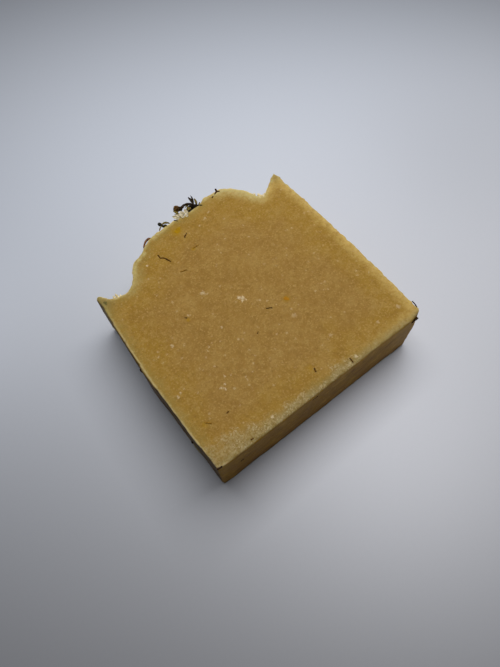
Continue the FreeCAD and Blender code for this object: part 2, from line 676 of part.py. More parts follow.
def top_stalks(soap):
    """Stalk pieces lying on the combed top, each following it from end to end."""
    doc, sheet = soap.doc, soap.sheet
    rods = []
    for number, (x, z, share, turn) in enumerate(TOP_STALKS, start=1):
        angle = math.radians(turn)
        length = share * sheet.twig_length
        reach = V(math.cos(angle), 0, math.sin(angle)) * (length / 2)
        place = (x * sheet.bar_width, z * sheet.bar_thickness)
        ends = [soap.top(place[0] + way * reach.x, place[1] + way * reach.z) for way in (-1, 1)]
        middle = (ends[0] + ends[1]) / 2 - Y_AXIS * sheet.bed_depth
        rods.append(rod(doc, f"top_stalk_{number}", middle, ends[1] - ends[0], length))
    return together(doc, "Compound", "top_stalks", "Stalk pieces on the combed top", rods)


def flush_petal(soap, name, label, place, sizes, turn):
    """A petal or leaf piece lying in the upper cut face, flush with it."""
    sheet = soap.sheet
    length, width, thickness = sizes
    half = value_of(sheet, thickness) / 2
    middle = soap.at(*place, sheet.bar_thickness - half)
    rotation = FreeCAD.Rotation(Z_AXIS, turn)
    foot = middle - rotation.multVec(Y_AXIS) * (value_of(sheet, length) / 2)
    made = blade(soap.doc, name, length, width, thickness, FreeCAD.Placement(foot, rotation))
    made.Label = label
    return made


def crumbs(soap):
    """Crumbs of the same soap, stuck in the dips."""
    doc, sheet = soap.doc, soap.sheet
    balls = []
    for number, (x, z, share) in enumerate(CRUMBS, start=1):
        spot = soap.top(x * sheet.bar_width, z * sheet.bar_thickness)
        turn = FreeCAD.Rotation(X_AXIS, 90)
        place = FreeCAD.Placement(spot, turn)
        balls.append(solid(doc, "Sphere", f"crumb_{number}", place, Radius=f"{share} * sizes.crumb_radius"))
    return balls


def hollow(soap, name, edge, out, share):
    """A ball whose near side bites a shallow chip out of an edge."""
    reach = soap.sheet.chip_radius - share * soap.sheet.chip_depth
    centre = edge + V(out).normalize() * reach
    turn = FreeCAD.Rotation(Z_AXIS, V(out))
    return solid(soap.doc, "Sphere", name, FreeCAD.Placement(centre, turn), Radius="sizes.chip_radius")


def chips(soap):
    """The hollows that wear has left in the edges."""
    sheet = soap.sheet
    made = []
    for number, (name, share, face, deep) in enumerate(CHIPS, start=1):
        spot, out, _ = soap.side(name, share, sheet.bar_thickness / 2)
        edge = spot + Z_AXIS * (face * sheet.bar_thickness / 2)
        made.append(hollow(soap, f"chip_{number}", edge, out + Z_AXIS * face, deep))
    for number, (share, deep) in enumerate(CORNER_CHIPS, start=1):
        edge = soap.at(sheet.bar_width, 0, share * sheet.bar_thickness)
        made.append(hollow(soap, f"corner_chip_{number}", edge, X_AXIS - Y_AXIS, deep))
    return made


def finish_soap(soap, bedded):
    """The slice with its chips and crumbs, and with a pocket round everything bedded in it."""
    doc = soap.doc
    chipped = doc.addObject("Part::Cut", "chipped_slice")
    chipped.Base = soap.body
    chipped.Tool = together(doc, "Compound", "chips", "Chips", chips(soap))
    grown = together(doc, "MultiFuse", "slice_with_crumbs", "Slice with crumbs", [chipped, *crumbs(soap)])
    made = doc.addObject("Part::Cut", "soap_bar")
    made.Base = grown
    made.Tool = together(doc, "Compound", "pockets", "Pockets", bedded)
    made.Label = "Soap bar"
    return made


def check(doc):
    """Stops the build when any object has failed or any shape isn't sound."""
    for item in doc.Objects:
        if {"Invalid", "Error"} & set(item.State):
            raise RuntimeError(f"{item.Name} failed: {item.State}")
        shape = getattr(item, "Shape", None)
        if shape is not None and item.TypeId.startswith("Part") and (shape.isNull() or not shape.isValid()):
            raise RuntimeError(f"{item.Name} has no sound shape")


def main():
    os.makedirs("parts", exist_ok=True)
    doc = FreeCAD.newDocument("handmade_soap")
    sheet = fill_sheet(doc)
    soap = Slice(doc, sheet)
    yellow_place = (0.466 * sheet.bar_width, 0.910 * sheet.crown_height)
    orange_place = (0.620 * sheet.bar_width, 0.371 * sheet.crown_height)
    green_place = (
        sheet.left_peak_offset + sheet.green_leaf_offset,
        sheet.left_peak_height - sheet.green_leaf_drop,
    )
    yellow = ("sizes.yellow_petal_length", "sizes.yellow_petal_width", "sizes.petal_thickness")
    green = ("sizes.green_leaf_length", "sizes.green_leaf_width", "sizes.petal_thickness")
    orange = ("0.75 * sizes.yellow_petal_length", "0.8 * sizes.yellow_petal_width", "sizes.petal_thickness")
    bedded = [
        flower_sprig(soap),
        pale_petals(soap),
        seed_head(soap),
        curled_stalk(soap),
        edge_twig(soap),
        face_stalks(soap),
        side_stalks(soap),
        top_stalks(soap),
        flush_petal(soap, "yellow_petal", "Yellow petal piece", yellow_place, yellow, -62),
        flush_petal(soap, "orange_petal", "Orange petal piece", orange_place, orange, 35),
        flush_petal(soap, "leaf_piece", "Leaf piece in the left peak", green_place, green, 15),
    ]
    nodes = [finish_soap(soap, bedded), *bedded]
    doc.recompute()
    check(doc)
    for node in nodes:
        node.Shape.exportStep(f"parts/{node.Name}.step")


main()
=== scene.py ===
"""Looks of a slice of handmade soap with dried flowers bedded in its combed top.

Lengths are in metres unless a name or comment says millimetres. Places on the slice are given in
millimetres from its left foot: along the mould base, up towards the combed top, and up from the face
that the slice lies on.
"""

import logging
import math
import random
from dataclasses import dataclass, replace
from enum import Enum
from typing import Any, Sequence

import bpy
import numpy as np
from mathutils import Matrix, Vector, kdtree, noise
from mathutils.bvhtree import BVHTree

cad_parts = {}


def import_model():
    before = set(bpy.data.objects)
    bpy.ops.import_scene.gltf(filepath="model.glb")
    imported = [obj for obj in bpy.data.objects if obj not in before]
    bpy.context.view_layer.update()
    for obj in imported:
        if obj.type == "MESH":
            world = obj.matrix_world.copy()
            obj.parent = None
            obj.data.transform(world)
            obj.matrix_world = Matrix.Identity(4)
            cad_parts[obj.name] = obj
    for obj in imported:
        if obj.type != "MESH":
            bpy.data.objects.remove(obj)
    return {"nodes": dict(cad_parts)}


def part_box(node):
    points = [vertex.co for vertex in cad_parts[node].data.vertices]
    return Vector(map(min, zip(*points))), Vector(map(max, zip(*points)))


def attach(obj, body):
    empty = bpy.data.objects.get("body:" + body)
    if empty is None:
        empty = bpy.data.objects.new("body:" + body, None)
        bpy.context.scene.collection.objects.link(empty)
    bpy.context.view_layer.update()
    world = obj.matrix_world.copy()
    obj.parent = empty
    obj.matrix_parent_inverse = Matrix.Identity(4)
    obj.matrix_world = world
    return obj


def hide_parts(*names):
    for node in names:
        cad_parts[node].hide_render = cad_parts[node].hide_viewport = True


log = logging.getLogger("soap")

MM = 0.001
BODY = "root"
HALF_BASE = 0.040
Colour = tuple[float, float, float]
Point = tuple[float, float, float]
Rows = tuple[tuple[float, float, float, float], ...]
BladeRows = tuple[tuple[Point, Point, float], ...]
Zone = tuple[tuple[str, float, float], ...]


def srgb(red: int, green: int, blue: int) -> Colour:
    """Turns a colour from a picture editor, 0 to 255, into the linear one that a shader takes."""
    parts = [value / 255 for value in (red, green, blue)]
    return tuple(part / 12.92 if part <= 0.04045 else ((part + 0.055) / 1.055) ** 2.4 for part in parts)


class Signal:
    """A number on its way through a material, so that node maths is written as arithmetic."""

    def __init__(self, shader: "Shader", socket: bpy.types.NodeSocket) -> None:
        """Keeps the socket and the shader that its nodes belong to."""
        self.shader = shader
        self.socket = socket

    def __add__(self, other: Any) -> "Signal":
        """Adds a number or signal."""
        return self.shader.math("ADD", self, other)

    def __sub__(self, other: Any) -> "Signal":
        """Takes a number or signal away."""
        return self.shader.math("SUBTRACT", self, other)

    def __rsub__(self, other: Any) -> "Signal":
        """Takes this away from a number."""
        return self.shader.math("SUBTRACT", other, self)

    def __mul__(self, other: Any) -> "Signal":
        """Multiplies by a number or signal."""
        return self.shader.math("MULTIPLY", self, other)

    __radd__ = __add__
    __rmul__ = __mul__


class Shader:
    """One material and the nodes in it."""

    def __init__(self, name: str) -> None:
        """Starts an empty material.

        Args:
            name: the material's name.
        """
        self.material = bpy.data.materials.new(name)
        self.material.use_nodes = True
        self.tree = self.material.node_tree
        self.tree.nodes.clear()

    def node(
        self,
        kind: str,
        settings: dict[str, Any] | None = None,
        inputs: dict[str | int, Any] | None = None,
        output: str | int = 0,
    ) -> Signal:
        """Adds a node, sets it up and feeds its sockets.

        Args:
            kind: the node's type without the ShaderNode in front.
            settings: its own settings.
            inputs: values or signals by socket name or number.
            output: the socket that carries on.

        Returns:
            The chosen output.
        """
        made = self.tree.nodes.new(f"ShaderNode{kind}")
        for name, value in (settings or {}).items():
            setattr(made, name, value)
        for name, value in (inputs or {}).items():
            if isinstance(value, Signal):
                self.tree.links.new(value.socket, made.inputs[name])
            elif made.inputs[name].type == "RGBA":
                made.inputs[name].default_value = (*value, 1.0)
            else:
                made.inputs[name].default_value = value
        return Signal(self, made.outputs[output])

    def math(self, operation: str, *values: Any) -> Signal:
        """Adds one Math node with its inputs in order."""
        return self.node("Math", {"operation": operation}, dict(enumerate(values)))

    def vector(self, operation: str, *values: Any, output: str | int = 0) -> Signal:
        """Adds one Vector Math node with its vector inputs in order."""
        return self.node("VectorMath", {"operation": operation}, dict(enumerate(values)), output)

    def scaled(self, vector: Any, factor: Any) -> Signal:
        """Multiplies a vector or colour by a number."""
        return self.node("VectorMath", {"operation": "SCALE"}, {"Vector": vector, "Scale": factor})

    def blend(self, factor: Any, first: Any, second: Any) -> Signal:
        """Mixes two colours by the second one's share."""
        return self.node("Mix", {"data_type": "RGBA"}, {0: factor, 6: first, 7: second}, 2)

    def step(self, value: Signal, start: float, full: float) -> Signal:
        """Rises smoothly from 0 to 1.

        Args:
            value: what it follows.
            start: where it is 0, which may be above or below full.
            full: where it is 1.

        Returns:
            The share from 0 to 1.
        """
        inputs = {"Value": value, "From Min": min(start, full), "From Max": max(start, full)}
        if start > full:
            inputs |= {"To Min": 1.0, "To Max": 0.0}
        return self.node("MapRange", {"interpolation_type": "SMOOTHSTEP"}, inputs)

    def ragged(self, value: Signal, noise: Signal, reach: float) -> Signal:
        """Lets a value wander with a noise, by half of a reach to either side."""
        return value + (noise - 0.5) * reach

    def band(self, value: Signal, noise: Signal, reach: float, start: float, full: float) -> Signal:
        """Marks where a value that wanders with a noise is past its start."""
        return self.step(self.ragged(value, noise, reach), start, full)

    def noise(self, vector: Signal, size: float, detail: float = 2.0, rough: float = 0.5) -> Signal:
        """Cloudy noise from 0 to 1, with the width of a cloud, its octaves and their strength."""
        values = {"Vector": vector, "Scale": 1 / size, "Detail": detail, "Roughness": rough}
        return self.node("TexNoise", None, values)

    def cells(self, vector: Signal, size: float, output: str = "Distance") -> Signal:
        """Voronoi cells of a size in millimetres."""
        return self.node("TexVoronoi", None, {"Vector": vector, "Scale": 1 / size}, output)

    def millimetres(self) -> Signal:
        """The place on the piece, in millimetres."""
        return self.scaled(self.node("TexCoord", None, None, "Object"), 1 / MM)

    def axes(self, vector: Signal) -> list[Signal]:
        """Splits a vector into its three numbers."""
        split = self.node("SeparateXYZ", None, {0: vector}).socket.node
        return [Signal(self, output) for output in split.outputs]

    def attribute(self, name: str) -> Signal:
        """A number stored at each of the piece's points."""
        return self.node("Attribute", {"attribute_name": name}, None, "Fac")

    def bump(self, height: Signal, depth: float) -> Signal:
        """A Bump node for a height from 0 to 1 that stands for a depth in metres."""
        return self.node("Bump", None, {"Height": height, "Strength": 1.0, "Distance": depth})

    def finish(self, inputs: dict[str, Any]) -> bpy.types.Material:
        """Ends the material in a Principled surface.

        Args:
            inputs: the surface's sockets by name.

        Returns:
            The finished material.
        """
        surface = self.node("BsdfPrincipled", None, inputs)
        output = self.tree.nodes.new("ShaderNodeOutputMaterial")
        self.tree.links.new(surface.socket, output.inputs["Surface"])
        return self.material


@dataclass(frozen=True)
class Slice:
    """The slice's thickness and the place of its left foot, read from the frame."""

    thickness: float
    left_foot: Vector

    @classmethod
    def from_frame(cls) -> "Slice":
        """Measures the soap's node in the frame."""
        low, high = (Vector(corner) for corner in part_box("soap_bar"))
        return cls(high.z, Vector((-HALF_BASE, low.y, 0.0)))

    def at(self, x: float, y: float, z: float) -> Vector:
        """A place given in millimetres from the left foot."""
        return self.left_foot + Vector((x, y, z)) * MM


@dataclass(frozen=True)
class Spot:
    """Where a point of the slice is, in millimetres from the left foot, as signals."""

    shader: Shader
    whole: Signal
    across: Signal
    up: Signal
    rise: Signal

    def zone(self, limits: Zone) -> Signal:
        """Marks a soft zone.

        Args:
            limits: for each limit its axis, and where the mark starts and where it is full.

        Returns:
            1 where all limits are passed, 0 outside.
        """
        marked, *others = [self.shader.step(getattr(self, axis), *ends) for axis, *ends in limits]
        for mark in others:
            marked = marked * mark
        return marked


class Side(Enum):
    """The kinds of surface on the slice."""

    CUT = "cut face"
    MOULDED = "moulded side"
    COMBED = "combed top"


@dataclass(frozen=True)
class SoapFinish:
    """Waxy cold-process soap: olive-gold, browner inside, paler at its rim, dusty along the base; its rims
    and sides carry painted light and shade.
    """

    core: Colour = srgb(139, 106, 45)
    golden: Colour = srgb(142, 109, 36)
    pale_mottle: Colour = srgb(160, 130, 72)
    deep_mottle: Colour = srgb(120, 87, 30)
    left_rim: Colour = srgb(132, 120, 66)
    # Right rim: pale rim colour, made brighter than the left rim by painted light from the lamp side.
    right_rim_painted_light: Colour = srgb(184, 156, 88)
    # Painted shade along the base edge of the face, which turns away from the lamp.
    base_rim_painted_shade: Colour = srgb(126, 108, 62)
    thin_rim: Colour = srgb(180, 164, 108)
    horn: Colour = srgb(124, 112, 66)
    ash: Colour = srgb(152, 136, 94)
    ash_gap: Colour = srgb(126, 102, 54)
    frost: Colour = srgb(196, 180, 142)
    grain: Colour = srgb(200, 180, 144)
    stain: Colour = srgb(150, 114, 10)
    wall: Colour = srgb(146, 104, 18)
    # Pale blotches of the sides, and painted light under the upper face and at the right end.
    wall_pale_and_painted_light: Colour = srgb(186, 142, 44)
    # Dark streaks of the sides, and painted shade at their foot.
    wall_dark_and_painted_shade: Colour = srgb(98, 66, 14)
    # Painted shade on the left side: darkest low down, lighter near the crown.
    left_wall_painted_shade: Colour = srgb(68, 50, 25)
    left_wall_high_painted_shade: Colour = srgb(112, 96, 52)
    edge_line: Colour = srgb(204, 186, 136)
    crust: Colour = srgb(218, 196, 142)
    crevice: Colour = srgb(192, 166, 108)
    specular: float = 0.10
    subsurface: float = 0.35
    subsurface_reach: float = 0.0022
    subsurface_tint: Point = (1.0, 0.62, 0.25)
    roughness: float = 0.52
    relief_depth: float = 0.00020

    # Depth below the slice's upper face where its own marks start and are full. Millimetres.
    upper_skin: tuple[float, float] = (0.9, 0.3)

    # Bands that wander: by how much, and where each starts and is full. Millimetres from the rim, or
    # from the base for the base band and from the lower face for the wall band. The base band is painted
    # shade along the base edge; the wall band is painted light under the upper face.
    inner_band: Point = (26.0, 4.0, 17.0)
    wide_band: Point = (3.0, 5.0, 0.2)
    crest_band: Point = (2.4, 5.4, 0.2)
    thin_band: Point = (1.6, 1.5, 0.2)
    base_band_painted_shade: Point = (1.4, 3.2, 0.9)
    edge_band: Point = (0.6, 0.95, 0.35)
    wall_band_painted_light: Point = (8.0, 15.0, 22.0)

    # Mottling of the paste: the noise that draws it, where it starts and is full, strength and tone.
    mottles: tuple[tuple[str, float, float, float, str], ...] = (
        ("patch", 0.50, 0.68, 0.28, "pale_mottle"),
        ("patch", 0.48, 0.32, 0.26, "deep_mottle"),
        ("mottle", 0.50, 0.66, 0.38, "pale_mottle"),
        ("mottle", 0.47, 0.32, 0.28, "deep_mottle"),
        ("fine", 0.54, 0.70, 0.80, "pale_mottle"),
        ("fine", 0.42, 0.28, 0.66, "deep_mottle"),
    )

    # Zones of the faces: each limit's axis, and where the zone starts and is full. Millimetres.
    # Painted light: towards the right, where the lamp is, the rim grows paler and its band stronger.
    rightward: Zone = (("across", 40.0, 79.0),)
    # The pale bands along the crests are partly painted light: full on the right crest, weaker on the left.
    right_crest: Zone = (("up", 62.0, 70.0), ("across", 54.0, 62.0), ("across", 73.0, 68.0))
    left_crest: Zone = (("up", 60.0, 64.0), ("across", 7.0, 12.0), ("across", 22.0, 16.0))
    # Painted light: the thin rim is brighter in the upper half, nearer the lamp.
    upper_half_painted_light: Zone = (("up", 50.0, 70.0),)
    left_edge: Zone = (("across", 6.0, 3.0), ("up", 62.0, 50.0))
    left_edge_foot: Zone = (("up", 34.0, 20.0),)
    left_horn: Zone = (("across", 6.5, 1.5), ("up", 58.0, 67.0))
    right_horn: Zone = (("across", 74.5, 78.5), ("up", 68.0, 73.5))
    # Painted light at the right end of the sides.
    off_corner: Zone = (("across", 3.0, 9.0),)
    frosted: Zone = (("across", 70.0, 50.0),)
    wall_right_painted_light: Zone = (("across", 58.0, 80.0),)
    wall_near_left: Zone = (("across", 6.0, 1.0),)
    # Painted shade at the foot of the sides, next to the table.
    wall_foot_painted_shade: Zone = (("rise", 9.0, 1.0),)
    # Painted shade over the left side, deepest in its lower part.
    left_wall_painted_shade_zone: Zone = (("across", 3.0, 1.6), ("up", 0.5, 1.5))
    left_wall_deeper_shade_zone: Zone = (("up", 66.0, 38.0),)
    burr: Zone = (("rise", 22.2, 23.0), ("across", 72.0, 78.0))

    # How far the dust reaches up from the base: zones and the millimetres that each adds.
    dust_base: float = 1.0
    dust_reach: tuple[tuple[Zone, float], ...] = (
        ((("across", 22.0, 10.0),), 3.8),
        ((("across", 44.0, 24.0),), 1.4),
        ((("across", 42.0, 45.0), ("across", 53.0, 49.0)), 2.2),
    )

    # Pale undissolved grains in the upper cut face: across, up, radius, strength. Millimetres.
    grains: Rows = (
        (37.9, 40.5, 0.70, 1.0), (38.7, 39.6, 0.66, 0.9), (38.0, 38.7, 0.52, 0.9), (39.2, 38.6, 0.45, 0.8),
        (29.7, 49.2, 0.85, 0.6), (21.2, 45.3, 0.50, 0.5), (11.3, 39.5, 0.70, 0.6), (21.2, 69.3, 0.60, 0.9),
        (21.9, 68.2, 0.30, 0.5), (17.2, 57.7, 0.50, 0.5), (15.2, 18.9, 0.55, 0.9), (16.5, 19.4, 0.50, 0.8),
        (15.9, 18.0, 0.40, 0.8), (18.0, 21.4, 0.45, 0.7), (22.9, 17.4, 0.45, 0.5), (22.7, 16.3, 0.40, 0.4),
        (3.4, 24.6, 0.45, 0.7), (4.5, 25.1, 0.40, 0.6), (18.8, 31.4, 0.40, 0.6), (20.1, 32.0, 0.40, 0.5),
        (21.4, 32.6, 0.40, 0.5), (26.9, 35.2, 0.45, 0.5), (47.8, 24.4, 0.95, 0.3), (52.2, 11.9, 0.70, 0.35),
        (66.8, 6.2, 0.70, 0.4), (75.8, 6.4, 0.80, 0.4), (77.1, 21.4, 0.40, 0.5), (53.4, 1.9, 0.50, 0.9),
        (21.5, 2.9, 0.55, 0.9), (44.5, 72.0, 0.50, 0.5), (48.0, 73.5, 0.60, 0.5), (50.5, 75.0, 0.45, 0.4),
    )

    # Golden stains round the petals in the upper cut face: across, up, radius, strength.
    stains: Rows = (
        (36.9, 75.2, 2.4, 0.75), (49.6, 30.6, 1.5, 0.55), (37.2, 65.4, 0.9, 0.7), (20.3, 43.9, 0.8, 0.7),
        (4.6, 13.0, 1.1, 0.5), (39.9, 7.4, 1.2, 0.5),
    )

    def material(self, block: Slice) -> bpy.types.Material:
        """Builds the soap's material.

        Args:
            block: the slice, for its sizes.

        Returns:
            The material.
        """
        s = Shader("soap")
        place = s.millimetres()
        foot = tuple(-value / MM for value in block.left_foot)
        local = s.vector("ADD", place, foot)
        spot = Spot(s, local, *s.axes(local))
        upper = s.step(spot.rise, *(block.thickness / MM - depth for depth in self.upper_skin))

        body, relief = self._body(s, place)
        face = self._rims(s, body, place, spot)
        marks = self._spots(s, local, self.stains, 0.3) * upper
        face = s.blend(marks, face, self.stain)
        grains = self._spots(s, local, self.grains, 2.2) * upper
        face = s.blend(grains * 0.9, face, self.grain)
        ash, frost = self._ash(s, spot)
        ash, frost = ash * upper, frost * upper
        dust = s.blend(s.step(s.noise(local, 1.1, 3.0, 0.7), 0.38, 0.60), self.ash_gap, self.ash)
        face = s.blend(frost, s.blend(ash, face, dust), self.frost)

        colour = s.blend(s.attribute("moulded"), face, self._wall(s, place, spot))
        lumps = s.noise(place, 1.9, 4.0, 0.7)
        crust = s.blend(s.step(lumps, 0.34, 0.60), self.crevice, self.crust)
        colour = s.blend(s.attribute("combed"), colour, crust)
        height = relief + grains * 0.4 + frost * 0.7
        return s.finish(
            {
                "Base Color": colour,
                "Roughness": self.roughness + relief * 0.16 + ash * 0.2,
                "Normal": s.bump(height, self.relief_depth),
                "Specular IOR Level": self.specular,
                "Subsurface Weight": self.subsurface,
                "Subsurface Radius": self.subsurface_tint,
                "Subsurface Scale": self.subsurface_reach,
            }
        )

    def _body(self, s: Shader, place: Signal) -> tuple[Signal, Signal]:
        """Colours the paste itself: browner core, clouds, fine mottling and specks.

        Args:
            s: the material.
            place: the place in millimetres.

        Returns:
            The colour, and a height from 0 to 1 for the fine relief.
        """
        cloud = s.noise(place, 15.0, 3.0)
        patch = s.noise(s.vector("ADD", place, (7.0, 50.0, 3.0)), 5.5, 3.0, 0.6)
        mottle = s.noise(place, 1.5, 4.0, 0.65)
        fine = s.noise(s.vector("ADD", place, (20.0, 0.0, 9.0)), 0.58, 2.0, 0.6)
        inner = s.band(s.attribute("rim"), cloud, *self.inner_band)
        colour = s.blend(inner, self.golden, self.core)
        noises = {"patch": patch, "mottle": mottle, "fine": fine}
        for drawn_by, start, full, strength, tone in self.mottles:
            mask = s.step(noises[drawn_by], start, full) * strength
            colour = s.blend(mask, colour, getattr(self, tone))
        warped = s.vector("ADD", place, s.scaled(s.node("TexNoise", None, {"Vector": place}, "Color"), 1.6))
        dots = s.step(s.cells(warped, 2.4), 0.20, 0.07) * s.step(patch, 0.42, 0.60)
        colour = s.blend(dots * 0.44, colour, self.grain)
        return colour, mottle * 0.5 + fine * 0.5

    def _rims(self, s: Shader, body: Signal, place: Signal, spot: Spot) -> Signal:
        """Pales the face towards its rim, greenish on the left; painted light makes the rim wide and bright
        on the right and along the upper edges, and painted shade darkens it along the base edge.

        Args:
            s: the material.
            body: the paste's own colour.
            place: the place in millimetres.
            spot: the same from the left foot.

        Returns:
            The face's colour.
        """
        rim = s.attribute("rim")
        wobble = s.noise(place, 4.0, 3.0)
        fine = s.noise(place, 1.0, 3.0, 0.7)
        flock = s.step(s.noise(s.vector("ADD", place, (0.0, 0.0, 31.0)), 1.7, 4.0, 0.7), 0.34, 0.60)
        granular = 0.45 + flock * 0.55
        # Painted light: the rim's tone brightens and its pale band strengthens towards the right.
        rightward = spot.zone(self.rightward)
        tone = s.blend(rightward, self.left_rim, self.right_rim_painted_light)
        wide = s.band(s.ragged(rim, wobble, 3.6), fine, *self.wide_band)
        colour = s.blend(wide * granular * (0.44 + rightward * 0.44), body, tone)
        # The crests' pale band is partly painted light, weaker on the left crest.
        crest = spot.zone(self.right_crest) + spot.zone(self.left_crest) * 0.4
        broad = s.band(rim, fine, *self.crest_band) * crest
        colour = s.blend(broad * granular * 0.95, colour, self.thin_rim)
        thin = s.band(rim, fine, *self.thin_band) * granular
        # Painted light: the thin rim grows stronger in the upper half.
        colour = s.blend(thin * (0.34 + spot.zone(self.upper_half_painted_light) * 0.40), colour, self.thin_rim)
        # Painted shade along the base edge, weaker towards the right.
        base = s.band(spot.up, fine, *self.base_band_painted_shade)
        colour = s.blend(base * (0.72 - rightward * 0.30), colour, self.base_rim_painted_shade)
        line = s.band(rim, fine, *self.edge_band) * spot.zone(self.left_edge)
        colour = s.blend(line * (0.45 + spot.zone(self.left_edge_foot) * 0.35), colour, self.edge_line)
        horns = spot.zone(self.left_horn) * 0.65 + spot.zone(self.right_horn) * 0.5
        return s.blend(horns, colour, self.horn)

    @staticmethod
    def _spots(s: Shader, local: Signal, rows: Rows, wander: float) -> Signal:
        """Marks round blots on the upper face whose outlines wander.

        Args:
            s: the material.
            local: the place from the left foot in millimetres.
            rows: the blots.
            wander: how far an outline wanders, in millimetres.

        Returns:
            The mask.
        """
        drift = s.node("TexNoise", None, {"Vector": local, "Scale": 1.1, "Detail": 2.0}, "Color")
        shift = s.scaled(s.vector("SUBTRACT", drift, (0.5, 0.5, 0.5)), wander)
        flat = s.vector("MULTIPLY", s.vector("ADD", local, shift), (1.0, 1.0, 0.0))
        total: Any = 0.0
        for x, y, radius, strength in rows:
            away = s.vector("DISTANCE", flat, (x, y, 0.0), output="Value")
            total = s.math("MAXIMUM", s.step(away, radius * 1.3, radius * 0.2) * strength, total)
        return total

    def _ash(self, s: Shader, spot: Spot) -> tuple[Signal, Signal]:
        """Marks the dusty film along the base edge, widest at the left corner.

        Args:
            s: the material.
            spot: the place from the left foot.

        Returns:
            The film, and the frosty grains in it.
        """
        local = spot.whole
        reach: Any = self.dust_base
        for zone, rise in self.dust_reach:
            reach = reach + spot.zone(zone) * rise
        past = s.ragged(spot.up, s.noise(local, 3.2, 4.0, 0.65), 8.0) - reach
        clumps = s.step(s.noise(local, 2.4, 3.0, 0.6), 0.38, 0.58)
        kernels = s.step(s.noise(s.vector("ADD", local, (5.0, 0.0, 0.0)), 0.55, 3.0, 0.65), 0.44, 0.68)
        frost = kernels * clumps * s.step(past, 2.2, 0.2) * (0.4 + spot.zone(self.off_corner) * 0.6)
        return s.step(past, 1.6, -1.8) * 0.58, frost * spot.zone(self.frosted) * 0.52

    def _wall(self, s: Shader, place: Signal, spot: Spot) -> Signal:
        """Colours the moulded sides: brown with soft streaks, with painted light under the upper face and
        to the right, and painted shade at the foot and over the left side.

        Args:
            s: the material.
            place: the place in millimetres.
            spot: the same from the left foot.

        Returns:
            The sides' colour.
        """
        drawn = s.vector("MULTIPLY", place, (0.35, 0.35, 1.0))
        streak = s.noise(drawn, 2.6, 4.0, 0.65)
        blotch = s.noise(s.vector("ADD", place, (3.0, 3.0, 60.0)), 3.6, 4.0, 0.65)
        fine = s.noise(place, 0.9, 3.0, 0.6)
        # Painted light: the sides grow paler towards the upper face.
        high = s.band(spot.rise, blotch, *self.wall_band_painted_light)
        light = s.step(streak * 0.35 + blotch * 0.65, 0.50, 0.64) * 0.55
        # Painted light at the right end; a paler tone near the left end.
        light = light + spot.zone(self.wall_right_painted_light) * 0.28 + spot.zone(self.wall_near_left) * 0.25
        colour = s.blend(light + high * 0.42, self.wall, self.wall_pale_and_painted_light)
        dark = s.step(streak * 0.4 + blotch * 0.6, 0.47, 0.34) * 0.5
        # Painted shade at the foot of the sides; the streaks are their own darker tone.
        colour = s.blend(dark + spot.zone(self.wall_foot_painted_shade) * 0.30, colour, self.wall_dark_and_painted_shade)
        colour = s.blend(s.step(fine, 0.42, 0.30) * 0.35, colour, self.wall_dark_and_painted_shade)
        # Painted shade over the left side, darkest low down.
        shaded = s.blend(spot.zone(self.left_wall_deeper_shade_zone), self.left_wall_high_painted_shade, self.left_wall_painted_shade)
        colour = s.blend(spot.zone(self.left_wall_painted_shade_zone) * 0.85, colour, shaded)
        # The burr takes the right rim's pale colour with its painted light.
        return s.blend(spot.zone(self.burr) * 0.8, colour, self.right_rim_painted_light)


@dataclass(frozen=True)
class PlantFinish:
    """A dry piece of plant: two tones along its grain, with a dull rough skin."""

    name: str
    dark: Colour
    light: Colour
    grain: float = 0.7
    stretch: Point = (1.0, 1.0, 1.0)
    relief: float = 0.00008
    roughness: float = 0.75
    glow: float = 0.0

    def material(self) -> bpy.types.Material:
        """Builds the material."""
        s = Shader(self.name)
        place = s.millimetres()
        drawn = s.vector("MULTIPLY", place, self.stretch)
        patches = s.noise(drawn, self.grain, 4.0, 0.7)
        fine = s.noise(place, self.grain / 4, 3.0, 0.6)
        colour = s.blend(s.step(patches * 0.7 + fine * 0.3, 0.36, 0.64), self.dark, self.light)
        return s.finish(
            {
                "Base Color": colour,
                "Roughness": self.roughness - 0.1 + fine * 0.2,
                "Normal": s.bump(fine * 0.6 + patches * 0.4, self.relief),
                "Specular IOR Level": 0.08,
                "Subsurface Weight": self.glow,
                "Subsurface Radius": (1.0, 0.7, 0.3),
                "Subsurface Scale": 0.0008,
            }
        )


class Plants:
    """The finishes of the dried plant pieces."""

    bud = PlantFinish("dry_bud", srgb(34, 14, 6), srgb(132, 98, 42), grain=1.3)
    olive = PlantFinish("olive_bud", srgb(46, 38, 12), srgb(132, 114, 54), grain=0.6)
    sprig = PlantFinish("sprig_stalk", srgb(12, 7, 4), srgb(58, 42, 18), grain=0.8)
    stalk = PlantFinish("dry_stalk", srgb(22, 13, 6), srgb(68, 44, 20), grain=0.5)
    curl = PlantFinish("curled_stalk", srgb(52, 28, 12), srgb(128, 84, 44), grain=0.7)
    dark_leaf = PlantFinish("dark_leaf", srgb(14, 10, 6), srgb(50, 40, 22), grain=0.6)
    sliver = PlantFinish("cut_sliver", srgb(34, 18, 6), srgb(100, 64, 18), grain=0.6)
    golden_sliver = PlantFinish("golden_sliver", srgb(98, 62, 14), srgb(158, 118, 38), grain=0.6)
    green_leaf = PlantFinish("green_leaf", srgb(62, 58, 26), srgb(110, 100, 54), grain=0.8)
    pale_petal = PlantFinish("pale_petal", srgb(122, 108, 68), srgb(204, 192, 164), grain=1.1, glow=0.2)
    yellow_petal = PlantFinish("yellow_petal", srgb(138, 104, 10), srgb(160, 122, 8), grain=1.2, glow=0.3)
    orange_petal = PlantFinish("orange_petal", srgb(146, 98, 14), srgb(164, 112, 22), grain=1.0, glow=0.3)
    seed = PlantFinish("dark_seed_head", srgb(10, 10, 8), srgb(48, 46, 28), grain=0.5)
    crumb = PlantFinish("soap_crumb", srgb(176, 154, 104), srgb(224, 210, 170), grain=0.8, glow=0.2)


